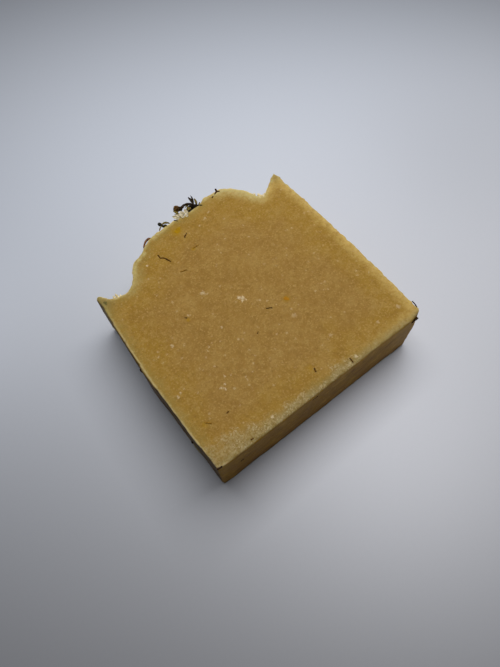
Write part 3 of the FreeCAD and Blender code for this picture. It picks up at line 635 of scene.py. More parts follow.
class Bench:
    """The few modelling steps that every piece uses."""

    nodes: dict[str, bpy.types.Object] = {}

    @staticmethod
    def pick(piece: bpy.types.Object) -> None:
        """Makes a piece the only one selected, and the active one."""
        for other in bpy.context.selected_objects:
            other.select_set(False)
        piece.select_set(True)
        bpy.context.view_layer.objects.active = piece

    @classmethod
    def new(cls, name: str, add: Any, **settings: Any) -> bpy.types.Object:
        """Adds a primitive.

        Args:
            name: the piece's name.
            add: the operator that adds it.
            settings: the operator's settings.

        Returns:
            The new piece.
        """
        add(**settings)
        piece = bpy.context.active_object
        piece.name = name
        piece.data.name = name
        return piece

    @staticmethod
    def link(name: str, data: bpy.types.ID) -> bpy.types.Object:
        """Adds an object for a mesh, a curve, a camera or a light."""
        made = bpy.data.objects.new(name, data)
        bpy.context.collection.objects.link(made)
        return made

    @classmethod
    def edit(cls, piece: bpy.types.Object, **steps: dict[str, Any]) -> None:
        """Runs mesh operators on the whole of a piece.

        Args:
            piece: the piece.
            steps: each operator's settings by its name, in order.
        """
        cls.pick(piece)
        bpy.ops.object.mode_set(mode="EDIT")
        bpy.ops.mesh.select_all(action="SELECT")
        for name, settings in steps.items():
            getattr(bpy.ops.mesh, name)(**settings)
        bpy.ops.object.mode_set(mode="OBJECT")

    @classmethod
    def modify(cls, piece: bpy.types.Object, kind: str, **settings: Any) -> None:
        """Adds a modifier and applies it."""
        cls.pick(piece)
        modifier = piece.modifiers.new(kind.lower(), kind)
        for name, value in settings.items():
            setattr(modifier, name, value)
        bpy.ops.object.modifier_apply(modifier=modifier.name)

    @classmethod
    def place(cls, piece: bpy.types.Object) -> None:
        """Moves a piece's place and turn into its mesh, so that its object sits at the origin."""
        cls.pick(piece)
        bpy.ops.object.transform_apply(location=True, rotation=True, scale=True)

    @classmethod
    def smooth(cls, piece: bpy.types.Object, degrees: float = 60.0) -> None:
        """Shades a piece smoothly except across sharp edges."""
        cls.pick(piece)
        bpy.ops.object.shade_smooth_by_angle(angle=math.radians(degrees))

    @classmethod
    def copy_node(cls, node: str, name: str) -> bpy.types.Object:
        """Copies a node's mesh into a new piece and merges its loose triangles."""
        piece = cls.link(name, cls.nodes[node].data.copy())
        piece.data.name = name
        piece.data.materials.clear()
        cls.edit(piece, remove_doubles={"threshold": 1e-6})
        return piece

    @classmethod
    def stem(cls, name: str, points: Sequence[Vector], radii: Sequence[float]) -> bpy.types.Object:
        """Draws a closed round stem along a smooth path.

        Args:
            name: the piece's name.
            points: the path's control points.
            radii: the radius at each, in millimetres.

        Returns:
            The stem.
        """
        curve = bpy.data.curves.new(name, "CURVE")
        curve.dimensions = "3D"
        curve.bevel_depth = 1.0
        curve.bevel_resolution = 3
        curve.use_fill_caps = True
        spline = curve.splines.new("NURBS")
        spline.points.add(len(points) - 1)
        for slot, point, radius in zip(spline.points, points, radii):
            slot.co = (*point, 1.0)
            slot.radius = radius * MM
        spline.order_u = 3
        spline.use_endpoint_u = True
        spline.resolution_u = 8
        cls.pick(cls.link(name, curve))
        bpy.ops.object.convert(target="MESH")
        piece = bpy.context.active_object
        cls.edit(piece, remove_doubles={"threshold": 1e-8}, normals_make_consistent={"inside": False})
        return piece

    @classmethod
    def way(cls, name: str, block: Slice, rows: Rows) -> bpy.types.Object:
        """Draws a stem along a written way on the slice."""
        return cls.stem(name, [block.at(*row[:3]) for row in rows], [row[3] for row in rows])

    @classmethod
    def ball(cls, name: str, centre: Vector, radii: Point, axis: Vector) -> bpy.types.Object:
        """Adds a round body.

        Args:
            name: the piece's name.
            centre: its middle.
            radii: half its sizes in millimetres, the last along the axis.
            axis: where its own Z points.

        Returns:
            The body.
        """
        turn = axis.to_track_quat("Z", "Y").to_euler()
        add = bpy.ops.mesh.primitive_uv_sphere_add
        piece = cls.new(name, add, segments=36, ring_count=20, radius=MM, location=centre, rotation=turn)
        piece.scale = radii
        cls.place(piece)
        return piece

    @classmethod
    def blade(
        cls,
        name: str,
        ends: Sequence[Vector],
        width: float,
        facing: Vector,
        shape: "Blade",
    ) -> bpy.types.Object:
        """Makes a petal, leaflet or bract: a thin cupped blade from its foot to its tip.

        Args:
            name: the piece's name.
            ends: foot and tip.
            width: the widest part, in millimetres.
            facing: where its broad side faces.
            shape: how it is cut, cupped and bent.

        Returns:
            The blade.
        """
        add = bpy.ops.mesh.primitive_grid_add
        piece = cls.new(name, add, x_subdivisions=shape.rows, y_subdivisions=shape.columns, size=2.0)
        points = cls.points(piece)
        foot, tip = ends
        axis = tip - foot
        side = facing.cross(axis).normalized()
        out = axis.cross(side).normalized()
        along = (points[:, 0] + 1) / 2
        share = np.sin(np.pi * along**shape.fullest) ** shape.bluntness
        share = np.maximum(share, shape.foot_width * (1 - along))
        tooth = 1 + shape.ragged * np.sin(along * shape.teeth + shape.seed)
        across = points[:, 1] * share * tooth * width / 2 * MM
        cup = shape.cup * (points[:, 1] ** 2) * share * width * MM
        bend = shape.bend * np.sin(np.pi * along) * axis.length
        curl = shape.curl * along**3 * axis.length
        twist = shape.twist * (along - 0.5)
        wide = across * np.cos(twist)
        high = across * np.sin(twist) + cup + bend + curl
        rows = [np.array(part)[None, :] for part in (axis, side, out)]
        placed = np.array(foot)[None, :] + along[:, None] * rows[0] + wide[:, None] * rows[1]
        cls.move(piece, placed + high[:, None] * rows[2])
        cls.modify(piece, "SOLIDIFY", thickness=shape.thickness * MM, offset=0.0)
        cls.edit(piece, remove_doubles={"threshold": 2e-6}, normals_make_consistent={"inside": False})
        cls.turn_out(piece)
        cls.wrinkle(piece, shape.wrinkle_size * MM, shape.wrinkled * MM, shape.seed)
        return piece

    @classmethod
    def blades(
        cls, name: str, block: Slice, rows: Sequence[Any], shape: "Blade", facing: Point, swing: float = 0.0
    ) -> bpy.types.Object:
        """Makes several blades of one shape, each with its own wrinkles, and joins them.

        Args:
            name: the joined piece's name.
            block: the slice that they stand on.
            rows: foot, tip and width of each, and where it faces if that is its own.
            shape: how they are cut, with the first one's seed.
            facing: where the broad sides face otherwise.
            swing: how far they swing to the sides of it.

        Returns:
            The joined piece.
        """
        made = []
        for number, (foot, tip, width, *own) in enumerate(rows):
            towards = Vector(own[0] if own else facing)
            towards.x += swing * math.sin(number * 2.1)
            ends = (block.at(*foot), block.at(*tip))
            cut = replace(shape, seed=shape.seed + number)
            made.append(cls.blade(f"{name}_{number}", ends, width, towards, cut))
        return cls.join(name, made)

    @classmethod
    def turn_out(cls, piece: bpy.types.Object) -> None:
        """Flips a closed piece's faces where they all point inward."""
        piece.data.calc_loop_triangles()
        points = cls.points(piece)
        corners = points[[list(triangle.vertices) for triangle in piece.data.loop_triangles]]
        corners = corners - points.mean(axis=0)
        volume = np.einsum("ij,ij->i", corners[:, 0], np.cross(corners[:, 1], corners[:, 2])).sum()
        if volume < 0:
            cls.edit(piece, flip_normals={})

    @classmethod
    def islands(cls, node: str) -> list["Rod"]:
        """Measures the loose solids of a node whose solids are straight rods.

        Args:
            node: the node's name.

        Returns:
            The rods, from left to right.
        """
        piece = cls.copy_node(node, "measured")
        cls.edit(piece, separate={"type": "LOOSE"})
        rods = []
        for part in list(bpy.context.selected_objects):
            points = cls.points(part)
            centre = (points.min(axis=0) + points.max(axis=0)) / 2
            axis = np.linalg.svd(points - points.mean(axis=0))[2][0]
            reach = np.ptp((points - centre) @ axis)
            rods.append(Rod(Vector(centre), Vector(axis), float(reach)))
            bpy.data.objects.remove(part)
        return sorted(rods, key=lambda rod: (rod.centre.x, rod.centre.y))

    @classmethod
    def join(cls, name: str, pieces: Sequence[bpy.types.Object]) -> bpy.types.Object:
        """Joins pieces into one."""
        cls.pick(pieces[0])
        for piece in pieces[1:]:
            piece.select_set(True)
        bpy.ops.object.join()
        joined = bpy.context.active_object
        joined.name = name
        joined.data.name = name
        return joined

    @staticmethod
    def points(piece: bpy.types.Object) -> np.ndarray:
        """A piece's points, one row each."""
        found = np.empty(len(piece.data.vertices) * 3)
        piece.data.vertices.foreach_get("co", found)
        return found.reshape(-1, 3)

    @staticmethod
    def normals(piece: bpy.types.Object) -> np.ndarray:
        """The normals at a piece's points, one row each."""
        found = np.empty(len(piece.data.vertices) * 3)
        piece.data.vertex_normals.foreach_get("vector", found)
        return found.reshape(-1, 3)

    @staticmethod
    def move(piece: bpy.types.Object, points: np.ndarray) -> None:
        """Puts a piece's points in new places."""
        piece.data.vertices.foreach_set("co", points.ravel())
        piece.data.update()

    @staticmethod
    def store(piece: bpy.types.Object, name: str, values: np.ndarray) -> None:
        """Stores a number at each of a piece's points."""
        layer = piece.data.attributes.new(name, "FLOAT", "POINT")
        layer.data.foreach_set("value", values.astype(np.float32))

    @classmethod
    def wrinkle(cls, piece: bpy.types.Object, size: float, depth: float, seed: int) -> None:
        """Pushes a piece's points in and out along their normals.

        Args:
            piece: the piece.
            size: width of one wrinkle.
            depth: how far points move at most, about.
            seed: which pattern.
        """
        points = cls.points(piece)
        normals = cls.normals(piece)
        offset = Vector((seed * 7.3, seed * 3.1, seed * 5.7))
        moves = [depth * noise.fractal(Vector(point) / size + offset, 0.7, 2.0, 3) for point in points]
        cls.move(piece, points + normals * np.array(moves)[:, None])

    @staticmethod
    def hand_over(piece: bpy.types.Object, material: bpy.types.Material, slot: str, node: str) -> None:
        """Dresses a finished piece, hangs it on the body and hides the CAD node that it stands for.

        Args:
            piece: the finished piece.
            material: its material.
            slot: the record's slot that it takes its finish from; not used.
            node: the CAD node that it replaces.
        """
        piece.data.materials.clear()
        piece.data.materials.append(material)
        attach(piece, BODY)
        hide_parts(node)
        log.info("%s: %d faces", piece.name, len(piece.data.polygons))


@dataclass(frozen=True)
class Rod:
    """A straight rod of the frame: its middle, its direction and its length."""

    centre: Vector
    axis: Vector
    length: float


@dataclass(frozen=True)
class Blade:
    """How a petal or leaf blade is cut, cupped and bent, in shares of its own length or width.

    Its wrinkles and its thickness are in millimetres.
    """

    fullest: float = 0.8
    bluntness: float = 0.7
    foot_width: float = 0.2
    cup: float = 0.2
    bend: float = 0.1
    curl: float = 0.0
    twist: float = 0.3
    ragged: float = 0.04
    teeth: float = 23.0
    wrinkle_size: float = 0.6
    wrinkled: float = 0.05
    thickness: float = 0.12
    rows: int = 22
    columns: int = 10
    seed: int = 1


@dataclass
class SoapBlock:
    """The cast slice, weathered: wire-cut faces, moulded sides, combed top and crumbling edges."""

    block: Slice
    voxel: float = 0.46 * MM
    drag_depth: float = 0.018 * MM
    face_sway: float = 0.05 * MM
    side_sway: float = 0.16 * MM
    crust_depth: float = 0.34 * MM
    edge_loss: float = 0.42 * MM
    furthest_right: float = 40.95 * MM

    combed_from: float = 60 * MM
    combed_facing: float = 0.25
    cut_depth: float = 0.6 * MM
    cut_facing: float = 0.72
    wall_facing: float = 0.4
    outline_depth: float = 2.0 * MM
    rim_loss_reach: float = 0.9 * MM
    pocket: float = 3 * MM

    # Widths of the waves and of the finer relief. Millimetres.
    broad_size: float = 9.0
    fine_size: float = 2.3

    # The two peaks: place, and how far each leans right and up. Millimetres.
    tips: Rows = ((1.9, 69.3, -0.26, 1.0), (80.2, 74.1, -0.1, 0.3))
    tip_reach: float = 2.2 * MM
    tip_fullness: float = 0.5 * MM
    tip_passes: int = 14

    # How the base's ends wear near the upper face, and how its right corner juts out. Millimetres.
    right_slant: float = 0.27
    right_slant_from: float = 75.3
    left_wear: float = 0.35
    corner_jut: float = 0.5
    corner_jut_from: float = 78.2

    # The mould's marks: a step in the left side, a swell above it, a tuck below and the right side's
    # burr under the upper face. Millimetres.
    step_at: float = 31.0
    step_depth: float = 0.28
    swell_at: float = 36.5
    swell_reach: float = 4.5
    swell_height: float = 0.26
    tuck_depth: float = 0.45
    tuck_rise: float = 7.0
    burr_height: float = 0.8
    burr_drop: float = 1.3

    def build(self, finish: SoapFinish) -> bpy.types.Object:
        """Makes the block from the frame's soap.

        Args:
            finish: its material.

        Returns:
            The finished piece.
        """
        piece = Bench.copy_node("soap_bar", "soap_slice")
        Bench.modify(piece, "REMESH", mode="VOXEL", voxel_size=self.voxel, use_smooth_shade=True)
        self._worn_tips(piece)
        points, normals = Bench.points(piece), Bench.normals(piece)
        sides = self._sides(points, normals)
        rim = self._rim(piece, points, normals, sides)
        moved = self._weathered(points, normals, sides, rim)
        Bench.move(piece, moved)
        Bench.store(piece, "rim", rim / MM)
        Bench.store(piece, "combed", sides[Side.COMBED])
        Bench.store(piece, "moulded", sides[Side.MOULDED])
        Bench.hand_over(piece, finish.material(self.block), "soap", "soap_bar")
        return piece

    def _worn_tips(self, piece: bpy.types.Object) -> None:
        """Wears the two peaks round, which the comb cut sharp, and leans them."""
        tips = [self.block.at(x, y, 0.0) for x, y, _, _ in self.tips]
        points, normals = Bench.points(piece), Bench.normals(piece)
        group = piece.vertex_groups.new(name="tips")
        for index, point in enumerate(points):
            away = min(math.hypot(point[0] - tip.x, point[1] - tip.y) for tip in tips)
            fuller = max(0.0, 1 - (away / (1.6 * self.tip_reach)) ** 2)
            points[index] = point + normals[index] * np.array((1.0, 1.0, 0.0)) * self.tip_fullness * fuller
            if away < self.tip_reach:
                group.add([index], min(1.0, 2 * (1 - away / self.tip_reach)), "REPLACE")
        Bench.move(piece, points)
        Bench.modify(piece, "SMOOTH", factor=0.6, iterations=self.tip_passes, vertex_group="tips")
        piece.vertex_groups.clear()
        points = Bench.points(piece)
        for tip, (_, _, rightward, upward) in zip(tips, self.tips):
            away = np.hypot(points[:, 0] - tip.x, points[:, 1] - tip.y)
            share = np.clip(1 - away / (2 * self.tip_reach), 0, 1)
            points[:, 0] += share * rightward * MM
            points[:, 1] += share * upward * MM
        Bench.move(piece, points)

    def _sides(self, points: np.ndarray, normals: np.ndarray) -> dict[Side, np.ndarray]:
        """Sorts the points by the kind of surface they are on.

        Args:
            points: the block's points.
            normals: their normals.

        Returns:
            For each kind, whether each point is on it.
        """
        near_cut = np.minimum(points[:, 2], self.block.thickness - points[:, 2]) < self.cut_depth
        cut = near_cut & (np.abs(normals[:, 2]) > self.cut_facing)
        above = points[:, 1] > self.block.left_foot.y + self.combed_from
        combed = ~cut & (normals[:, 1] > self.combed_facing) & above
        return {Side.CUT: cut, Side.COMBED: combed, Side.MOULDED: ~cut & ~combed}

    def _rim(
        self,
        piece: bpy.types.Object,
        points: np.ndarray,
        normals: np.ndarray,
        sides: dict[Side, np.ndarray],
    ) -> np.ndarray:
        """Measures how far the cut faces' points are from the slice's outline.

        Args:
            piece: the block.
            points: its points.
            normals: their normals.
            sides: the kind of surface of each.

        Returns:
            The distance of each point, 0 off the cut faces.
        """
        tree = BVHTree.FromPolygons(points.tolist(), [tuple(face.vertices) for face in piece.data.polygons])
        outline = {}
        candidates = np.flatnonzero(~sides[Side.CUT] & (np.abs(normals[:, 2]) < self.wall_facing))
        for upper in (True, False):
            level = self.block.thickness if upper else 0.0
            near = [i for i in candidates if abs(points[i, 2] - level) < self.outline_depth]
            free = [i for i in near if self._open_outside(tree, points[i], normals[i])]
            outline[upper] = kdtree.KDTree(len(free))
            for number, index in enumerate(free):
                outline[upper].insert((points[index, 0], points[index, 1], 0.0), number)
            outline[upper].balance()
        rim = np.zeros(len(points))
        half = self.block.thickness / 2
        for index in np.flatnonzero(sides[Side.CUT]):
            place = (points[index, 0], points[index, 1], 0.0)
            rim[index] = outline[bool(points[index, 2] > half)].find(place)[2]
        return rim

    def _open_outside(self, tree: BVHTree, point: np.ndarray, normal: np.ndarray) -> bool:
        """Whether nothing faces a point closely, as the far wall of a small pocket would."""
        away = Vector(normal)
        return tree.ray_cast(Vector(point) + away * (0.1 * MM), away, self.pocket)[0] is None

    def _weathered(
        self, points: np.ndarray, normals: np.ndarray, sides: dict[Side, np.ndarray], rim: np.ndarray
    ) -> np.ndarray:
        """Gives the surfaces their relief and crumbles the edges.

        Args:
            points: the smooth block's points.
            normals: their normals.
            sides: the kind of surface of each.
            rim: distance from the outline on the cut faces.

        Returns:
            The new points.
        """
        moves = np.zeros(len(points))
        thickness = self.block.thickness
        shift = -self.block.left_foot / MM
        lip = np.minimum(points[:, 2], thickness - points[:, 2])
        for index, point in enumerate(points):
            spot = Vector(point) / MM
            broad = noise.noise(spot / self.broad_size)
            fine = noise.noise(spot / self.fine_size + Vector((40, 0, 0)))
            from_rim = lip[index]
            if sides[Side.CUT][index]:
                drag = math.sin((spot.x * 0.35 + spot.y) * 3.4 + 5 * noise.noise(spot / 16.0))
                move = self.face_sway * (0.6 * broad + 0.5 * fine) + self.drag_depth * drag
                from_rim = rim[index]
                move = move if point[2] > thickness / 2 else -abs(move)
            elif sides[Side.COMBED][index]:
                stroke = noise.noise(Vector((spot.x / 4.5, spot.y / 3.0, spot.z / 1.7)))
                grit = noise.noise(spot / 0.95 + Vector((0, 9, 0)))
                move = self.crust_depth * (0.6 * stroke + 0.45 * fine + 0.35 * grit)
            else:
                move = self.side_sway * (0.8 * broad + 0.45 * fine)
                move += self._mould_mark(spot + shift, normals[index][0]) * MM
            nearness = max(0.0, 1 - from_rim / self.rim_loss_reach)
            loss = max(0.0, noise.noise(spot / 1.9 + Vector((0, 0, 70))) + 0.12)
            moves[index] = move - nearness * self.edge_loss * loss
        moved = points + normals * moves[:, None]
        places = moved / MM + np.array(shift)
        moved[:, 0] = np.minimum(moved[:, 0] + self._corner_point(places) * MM, self.furthest_right)
        moved[:, 1] += self._corner_wear(places) * MM
        moved[:, 2] = np.clip(moved[:, 2], 0.0, thickness + 0.02 * MM)
        return moved

    def _corner_wear(self, places: np.ndarray) -> np.ndarray:
        """How far the base's two ends are worn away upward: the right one slants off near the upper face.

        Args:
            places: points from the left foot, in millimetres.

        Returns:
            The wear at each, in millimetres.
        """
        depth = self.block.thickness / MM - places[:, 2]
        slant = self.right_slant * np.clip(places[:, 0] - self.right_slant_from, 0, None)
        right = slant * np.clip(1 - depth / 8, 0, 1)
        left = self.left_wear * np.clip(1 - places[:, 0] / 4, 0, 1)
        return (right + left) * np.clip(1 - places[:, 1] / 6, 0, 1)

    def _corner_point(self, places: np.ndarray) -> np.ndarray:
        """How far the upper face's right corner juts out past the mould wall.

        Args:
            places: points from the left foot, in millimetres.

        Returns:
            The jut at each, in millimetres.
        """
        depth = self.block.thickness / MM - places[:, 2]
        right = np.clip((places[:, 0] - self.corner_jut_from) / 1.5, 0, 1)
        near = np.clip(1 - places[:, 1] / 2.6, 0, 1) * right
        return self.corner_jut * near * np.clip(1 - depth / 5, 0, 1)

    def _mould_mark(self, place: Vector, sideways: float) -> float:
        """The step and the tucked lower edge of the left side, and the burr on the right side's upper edge.

        Args:
            place: the point, from the left foot in millimetres.
            sideways: how far its normal points to the right.

        Returns:
            How far the point moves outward, in millimetres.
        """
        top = self.block.thickness / MM - place.z
        if sideways < -0.5:
            below = min(1.0, max(0.0, self.step_at - place.y))
            swell = self.swell_height * math.exp(-(((place.y - self.swell_at) / self.swell_reach) ** 2))
            tuck = self.tuck_depth * max(0.0, 1 - place.z / self.tuck_rise)
            tuck = tuck * min(1.0, max(0.0, place.y / 12))
            return swell - self.step_depth * below - tuck
        if sideways > 0.4 and top < self.burr_drop:
            above_base = min(1.0, max(0.0, place.y / 3))
            tooth = self.burr_height * max(0.0, noise.noise(place / 1.25) + 0.05)
            return tooth * (1 - top / self.burr_drop) * above_base
        return 0.0


@dataclass
class FlowerSprig:
    """Two dried flower heads on one crooked stalk, with leaflets and crumpled bracts."""

    block: Slice
    head: Point = (42.75, 84.30, 22.05)
    head_radius: float = 1.20
    calyx: Point = (43.75, 83.45, 22.15)
    calyx_radius: float = 0.82
    side_head: Point = (45.9, 80.9, 22.35)
    side_radius: float = 1.00

    # The stalk's way from the head down into the crown, with its radius. Millimetres.
    stalk: Rows = (
        (43.7, 83.4, 22.2, 0.70), (44.6, 83.4, 22.2, 0.56), (45.6, 83.95, 22.3, 0.42),
        (47.0, 83.4, 22.4, 0.44), (47.9, 82.4, 22.5, 0.48), (48.3, 81.3, 22.8, 0.50),
        (48.6, 80.4, 23.00, 0.44), (49.6, 79.8, 23.05, 0.38), (50.2, 79.2, 23.02, 0.44),
        (50.6, 78.9, 23.05, 0.34),
    )

    side_stalk: Rows = ((47.0, 78.9, 21.9, 0.30), (46.9, 80.2, 22.0, 0.34))
    blade_facing: Point = (0.0, -0.35, 0.9)
    blade_swing: float = 0.25
    dark_leaflets: int = 3

    # The heads' folds and the dimple at their tips, as shares of the radius.
    fold_depth: float = 0.07
    fold_twist: float = 2.2
    dimple_depth: float = 0.22

    # The large head's sepals: how many, how far along and out foot and tip are, and width. Millimetres.
    sepals: int = 6
    sepal_foot: tuple[float, float] = (-1.05, 0.40)
    sepal_tip: tuple[float, float] = (0.05, 1.16)
    sepal_width: float = 0.70

    # Leaflets on the stalk: foot, tip, width. The first three are the dark ones.
    leaflets: BladeRows = (
        ((48.7, 81.9, 22.4), (48.9, 85.8, 22.4), 0.95),
        ((48.9, 82.2, 22.4), (50.1, 86.0, 22.3), 0.62),
        ((48.3, 82.5, 21.7), (48.0, 84.4, 21.2), 0.60),
        ((49.4, 80.8, 22.6), (50.3, 83.8, 22.6), 0.80),
        ((49.8, 80.6, 21.8), (51.4, 82.0, 21.5), 0.50),
        ((45.2, 82.3, 22.9), (46.8, 82.2, 22.9), 0.40),
        ((41.9, 81.3, 22.5), (41.3, 84.2, 22.0), 0.85),
    )

    # Crumpled bracts round the side head and along the stalk: foot, tip, width.
    bracts: BladeRows = (
        ((46.8, 80.2, 22.4), (44.9, 80.0, 22.9), 0.60),
        ((47.6, 80.8, 22.2), (46.1, 82.3, 22.4), 0.60),
        ((47.8, 80.3, 22.4), (47.7, 82.3, 22.8), 1.00),
        ((48.6, 80.6, 22.4), (46.9, 81.3, 23.0), 0.90),
        ((49.0, 81.0, 22.4), (47.3, 79.9, 22.8), 0.85),
        ((48.0, 80.2, 21.4), (48.8, 82.4, 21.1), 1.00),
        ((46.8, 79.9, 21.3), (44.9, 81.6, 20.8), 1.00),
        ((49.3, 80.0, 22.9), (47.8, 80.9, 23.1), 0.60),
        ((48.9, 80.3, 22.2), (46.6, 80.9, 22.0), 1.20),
        ((48.7, 79.7, 22.5), (46.4, 79.9, 22.5), 0.90),
    )

    def build(self) -> None:
        """Makes the sprig's pieces and hands them over."""
        at = self.block.at
        head, tip = at(*self.head), at(*self.calyx)
        stalk = Bench.way("bud_stalk", self.block, self.stalk)
        stem = Bench.way("side_stem", self.block, (*self.side_stalk, (*self.side_head, 0.40)))
        stalk = Bench.join("bud_stalk", [stalk, stem])
        Bench.wrinkle(stalk, 0.45 * MM, 0.09 * MM, 3)
        Bench.hand_over(stalk, Plants.sprig.material(), "dry_stalk", "flower_sprig")

        bud = self._flower_head("large_bud", head, head - tip, self.head_radius, 9)
        Bench.hand_over(bud, Plants.bud.material(), "flower_head", "flower_sprig")
        axis = Vector((-0.8, 0.3, 0.4))
        side = self._flower_head("side_bud", at(*self.side_head), axis, self.side_radius, 7)
        Bench.hand_over(side, Plants.olive.material(), "flower_head", "flower_sprig")

        leaf = Blade(fullest=0.7, curl=0.05, seed=14)
        pale = self._blades("leaflets", self.leaflets[self.dark_leaflets :], leaf)
        Bench.hand_over(pale, Plants.olive.material(), "leaf", "flower_sprig")
        crumple = Blade(
            fullest=0.9, bluntness=0.5, cup=0.45, bend=0.22, twist=1.1, ragged=0.14, wrinkled=0.14, seed=31
        )
        calyx = self._flower_head("calyx", tip, head - tip, self.calyx_radius, 6)
        dark = self._blades("dark_leaflets", self.leaflets[: self.dark_leaflets], replace(leaf, seed=11))
        bracts = self._blades("bracts", self.bracts, crumple)
        bracts = Bench.join("bracts", [bracts, dark, calyx, *self._sepals(head, tip)])
        Bench.hand_over(bracts, Plants.dark_leaf.material(), "leaf", "flower_sprig")

    def _blades(self, name: str, rows: BladeRows, shape: Blade) -> bpy.types.Object:
        """Makes leaflets or bracts that face up and towards the viewer."""
        return Bench.blades(name, self.block, rows, shape, self.blade_facing, self.blade_swing)

    def _flower_head(
        self, name: str, centre: Vector, axis: Vector, radius: float, ribs: int
    ) -> bpy.types.Object:
        """Makes a closed head of dried petals: a ball with folds from its foot to its tip.

        Args:
            name: the piece's name.
            centre: its middle.
            axis: from foot to tip.
            radius: in millimetres.
            ribs: how many folds.

        Returns:
            The head.
        """
        head = Bench.ball(name, centre, (radius, radius, radius * 1.06), axis)
        points = Bench.points(head)
        turn = axis.to_track_quat("Z", "Y").to_matrix()
        local = (points - np.array(centre)) @ np.array(turn)
        angle = np.arctan2(local[:, 1], local[:, 0])
        high = local[:, 2] / (radius * MM)
        waves = self.fold_depth * np.cos(ribs * angle + self.fold_twist * high)
        folds = 1 + waves * np.sqrt(np.clip(1 - high**2, 0, 1))
        dimple = 1 - self.dimple_depth * np.exp(-((1.05 - high) ** 2) / 0.03)
        local[:, :2] *= folds[:, None]
        local *= dimple[:, None]
        Bench.move(head, local @ np.array(turn).T + np.array(centre))
        Bench.wrinkle(head, 0.5 * MM, 0.10 * MM, ribs)
        Bench.smooth(head, 70)
        return head

    def _sepals(self, head: Vector, foot: Vector) -> list[bpy.types.Object]:
        """Makes the dark sepals that clasp the large head from its stalk.

        Args:
            head: the head's middle.
            foot: the calyx under it.

        Returns:
            The sepals.
        """
        axis = (head - foot).normalized()
        side = axis.orthogonal().normalized()
        made = []
        for number in range(self.sepals):
            out = Matrix.Rotation(number * math.tau / self.sepals + 0.3, 3, axis) @ side
            rows = (self.sepal_foot, self.sepal_tip)
            ends = [head + axis * (along * MM) + out * (away * MM) for along, away in rows]
            shape = Blade(fullest=0.6, bend=0.14, cup=-0.12, twist=0.1, foot_width=0.6, seed=51 + number)
            made.append(Bench.blade(f"sepal_{number}", ends, self.sepal_width, out, shape))
        return made


@dataclass
class PalePetals:
    """Pale dried petals standing round the large head."""

    block: Slice

    # Foot, tip, width, and where the broad side faces. Millimetres.
    facing: Point = (0.0, 0.0, 1.0)
    petals: tuple[tuple[Point, Point, float, Point], ...] = (
        ((40.3, 79.0, 23.30), (39.7, 82.4, 22.5), 1.50, (0.2, -0.1, 1.0)),
        ((42.9, 79.6, 23.05), (43.2, 82.6, 22.3), 1.30, (-0.2, -0.2, 1.0)),
        ((43.4, 78.0, 23.34), (45.1, 82.4, 22.6), 1.55, (-0.1, -0.2, 1.0)),
        ((41.2, 79.4, 23.05), (41.0, 83.0, 22.0), 1.50, (0.2, -0.3, 1.0)),
        ((42.0, 78.4, 23.32), (42.2, 82.0, 22.6), 1.60, (0.3, 0.1, 1.0)),
        ((41.6, 79.0, 22.00), (40.5, 82.0, 21.7), 1.30, (0.2, -0.2, 1.0)),
        ((44.2, 78.7, 22.10), (44.0, 81.9, 21.9), 1.30, (0.4, 0.1, 1.0)),
        ((38.7, 78.7, 15.8), (37.1, 81.2, 17.7), 1.50, (0.5, -0.3, 0.8)),
        ((46.2, 79.4, 15.9), (45.9, 82.3, 18.4), 1.50, (-0.5, -0.3, 0.8)),
    )

    def build(self) -> None:
        """Makes the petals and hands them over."""
        shape = Blade(fullest=0.75, bluntness=1.0, cup=0.12, bend=0.03, curl=-0.06, foot_width=0.6, seed=70)
        petals = Bench.blades("pale_petal_ring", self.block, self.petals, shape, self.facing)
        Bench.hand_over(petals, Plants.pale_petal.material(), "pale_petal", "pale_petals")


@dataclass
class SeedHead:
    """The small dark seed head on the crown's left shoulder, with its bracts."""

    block: Slice
    tip: Point = (34.25, 82.25, 22.0)
    foot: Point = (34.9, 79.2, 22.0)
    core_radii: Point = (0.62, 0.55, 0.85)
    stem_radii: Point = (0.30, 0.36, 0.42)
    facing: Point = (0.1, 0.4, 0.9)

    # Foot, tip, width.
    bracts: BladeRows = (
        ((34.4, 81.6, 22.1), (37.3, 79.9, 22.4), 1.25),
        ((34.6, 81.2, 21.8), (36.2, 79.3, 21.7), 1.10),
        ((34.6, 81.1, 22.1), (32.3, 79.5, 22.2), 0.55),
    )

    def build(self) -> None:
        """Makes the head, its stem and its bracts."""
        tip, foot = self.block.at(*self.tip), self.block.at(*self.foot)
        core = Bench.ball("seed_core", tip, self.core_radii, tip - foot)
        middle = (foot + tip) / 2 + Vector((0.3 * MM, 0, 0))
        stem = Bench.stem("seed_stem", [foot, middle, tip], self.stem_radii)
        head = Bench.join("seed_head_core", [core, stem])
        Bench.wrinkle(head, 0.4 * MM, 0.12 * MM, 5)
        Bench.smooth(head, 70)
        Bench.hand_over(head, Plants.seed.material(), "flower_head", "seed_head")
        shape = Blade(cup=0.3, bend=0.12, ragged=0.08, wrinkled=0.08, seed=90)
        bracts = Bench.blades("seed_bracts", self.block, self.bracts, shape, self.facing)
        Bench.hand_over(bracts, Plants.olive.material(), "leaf", "seed_head")


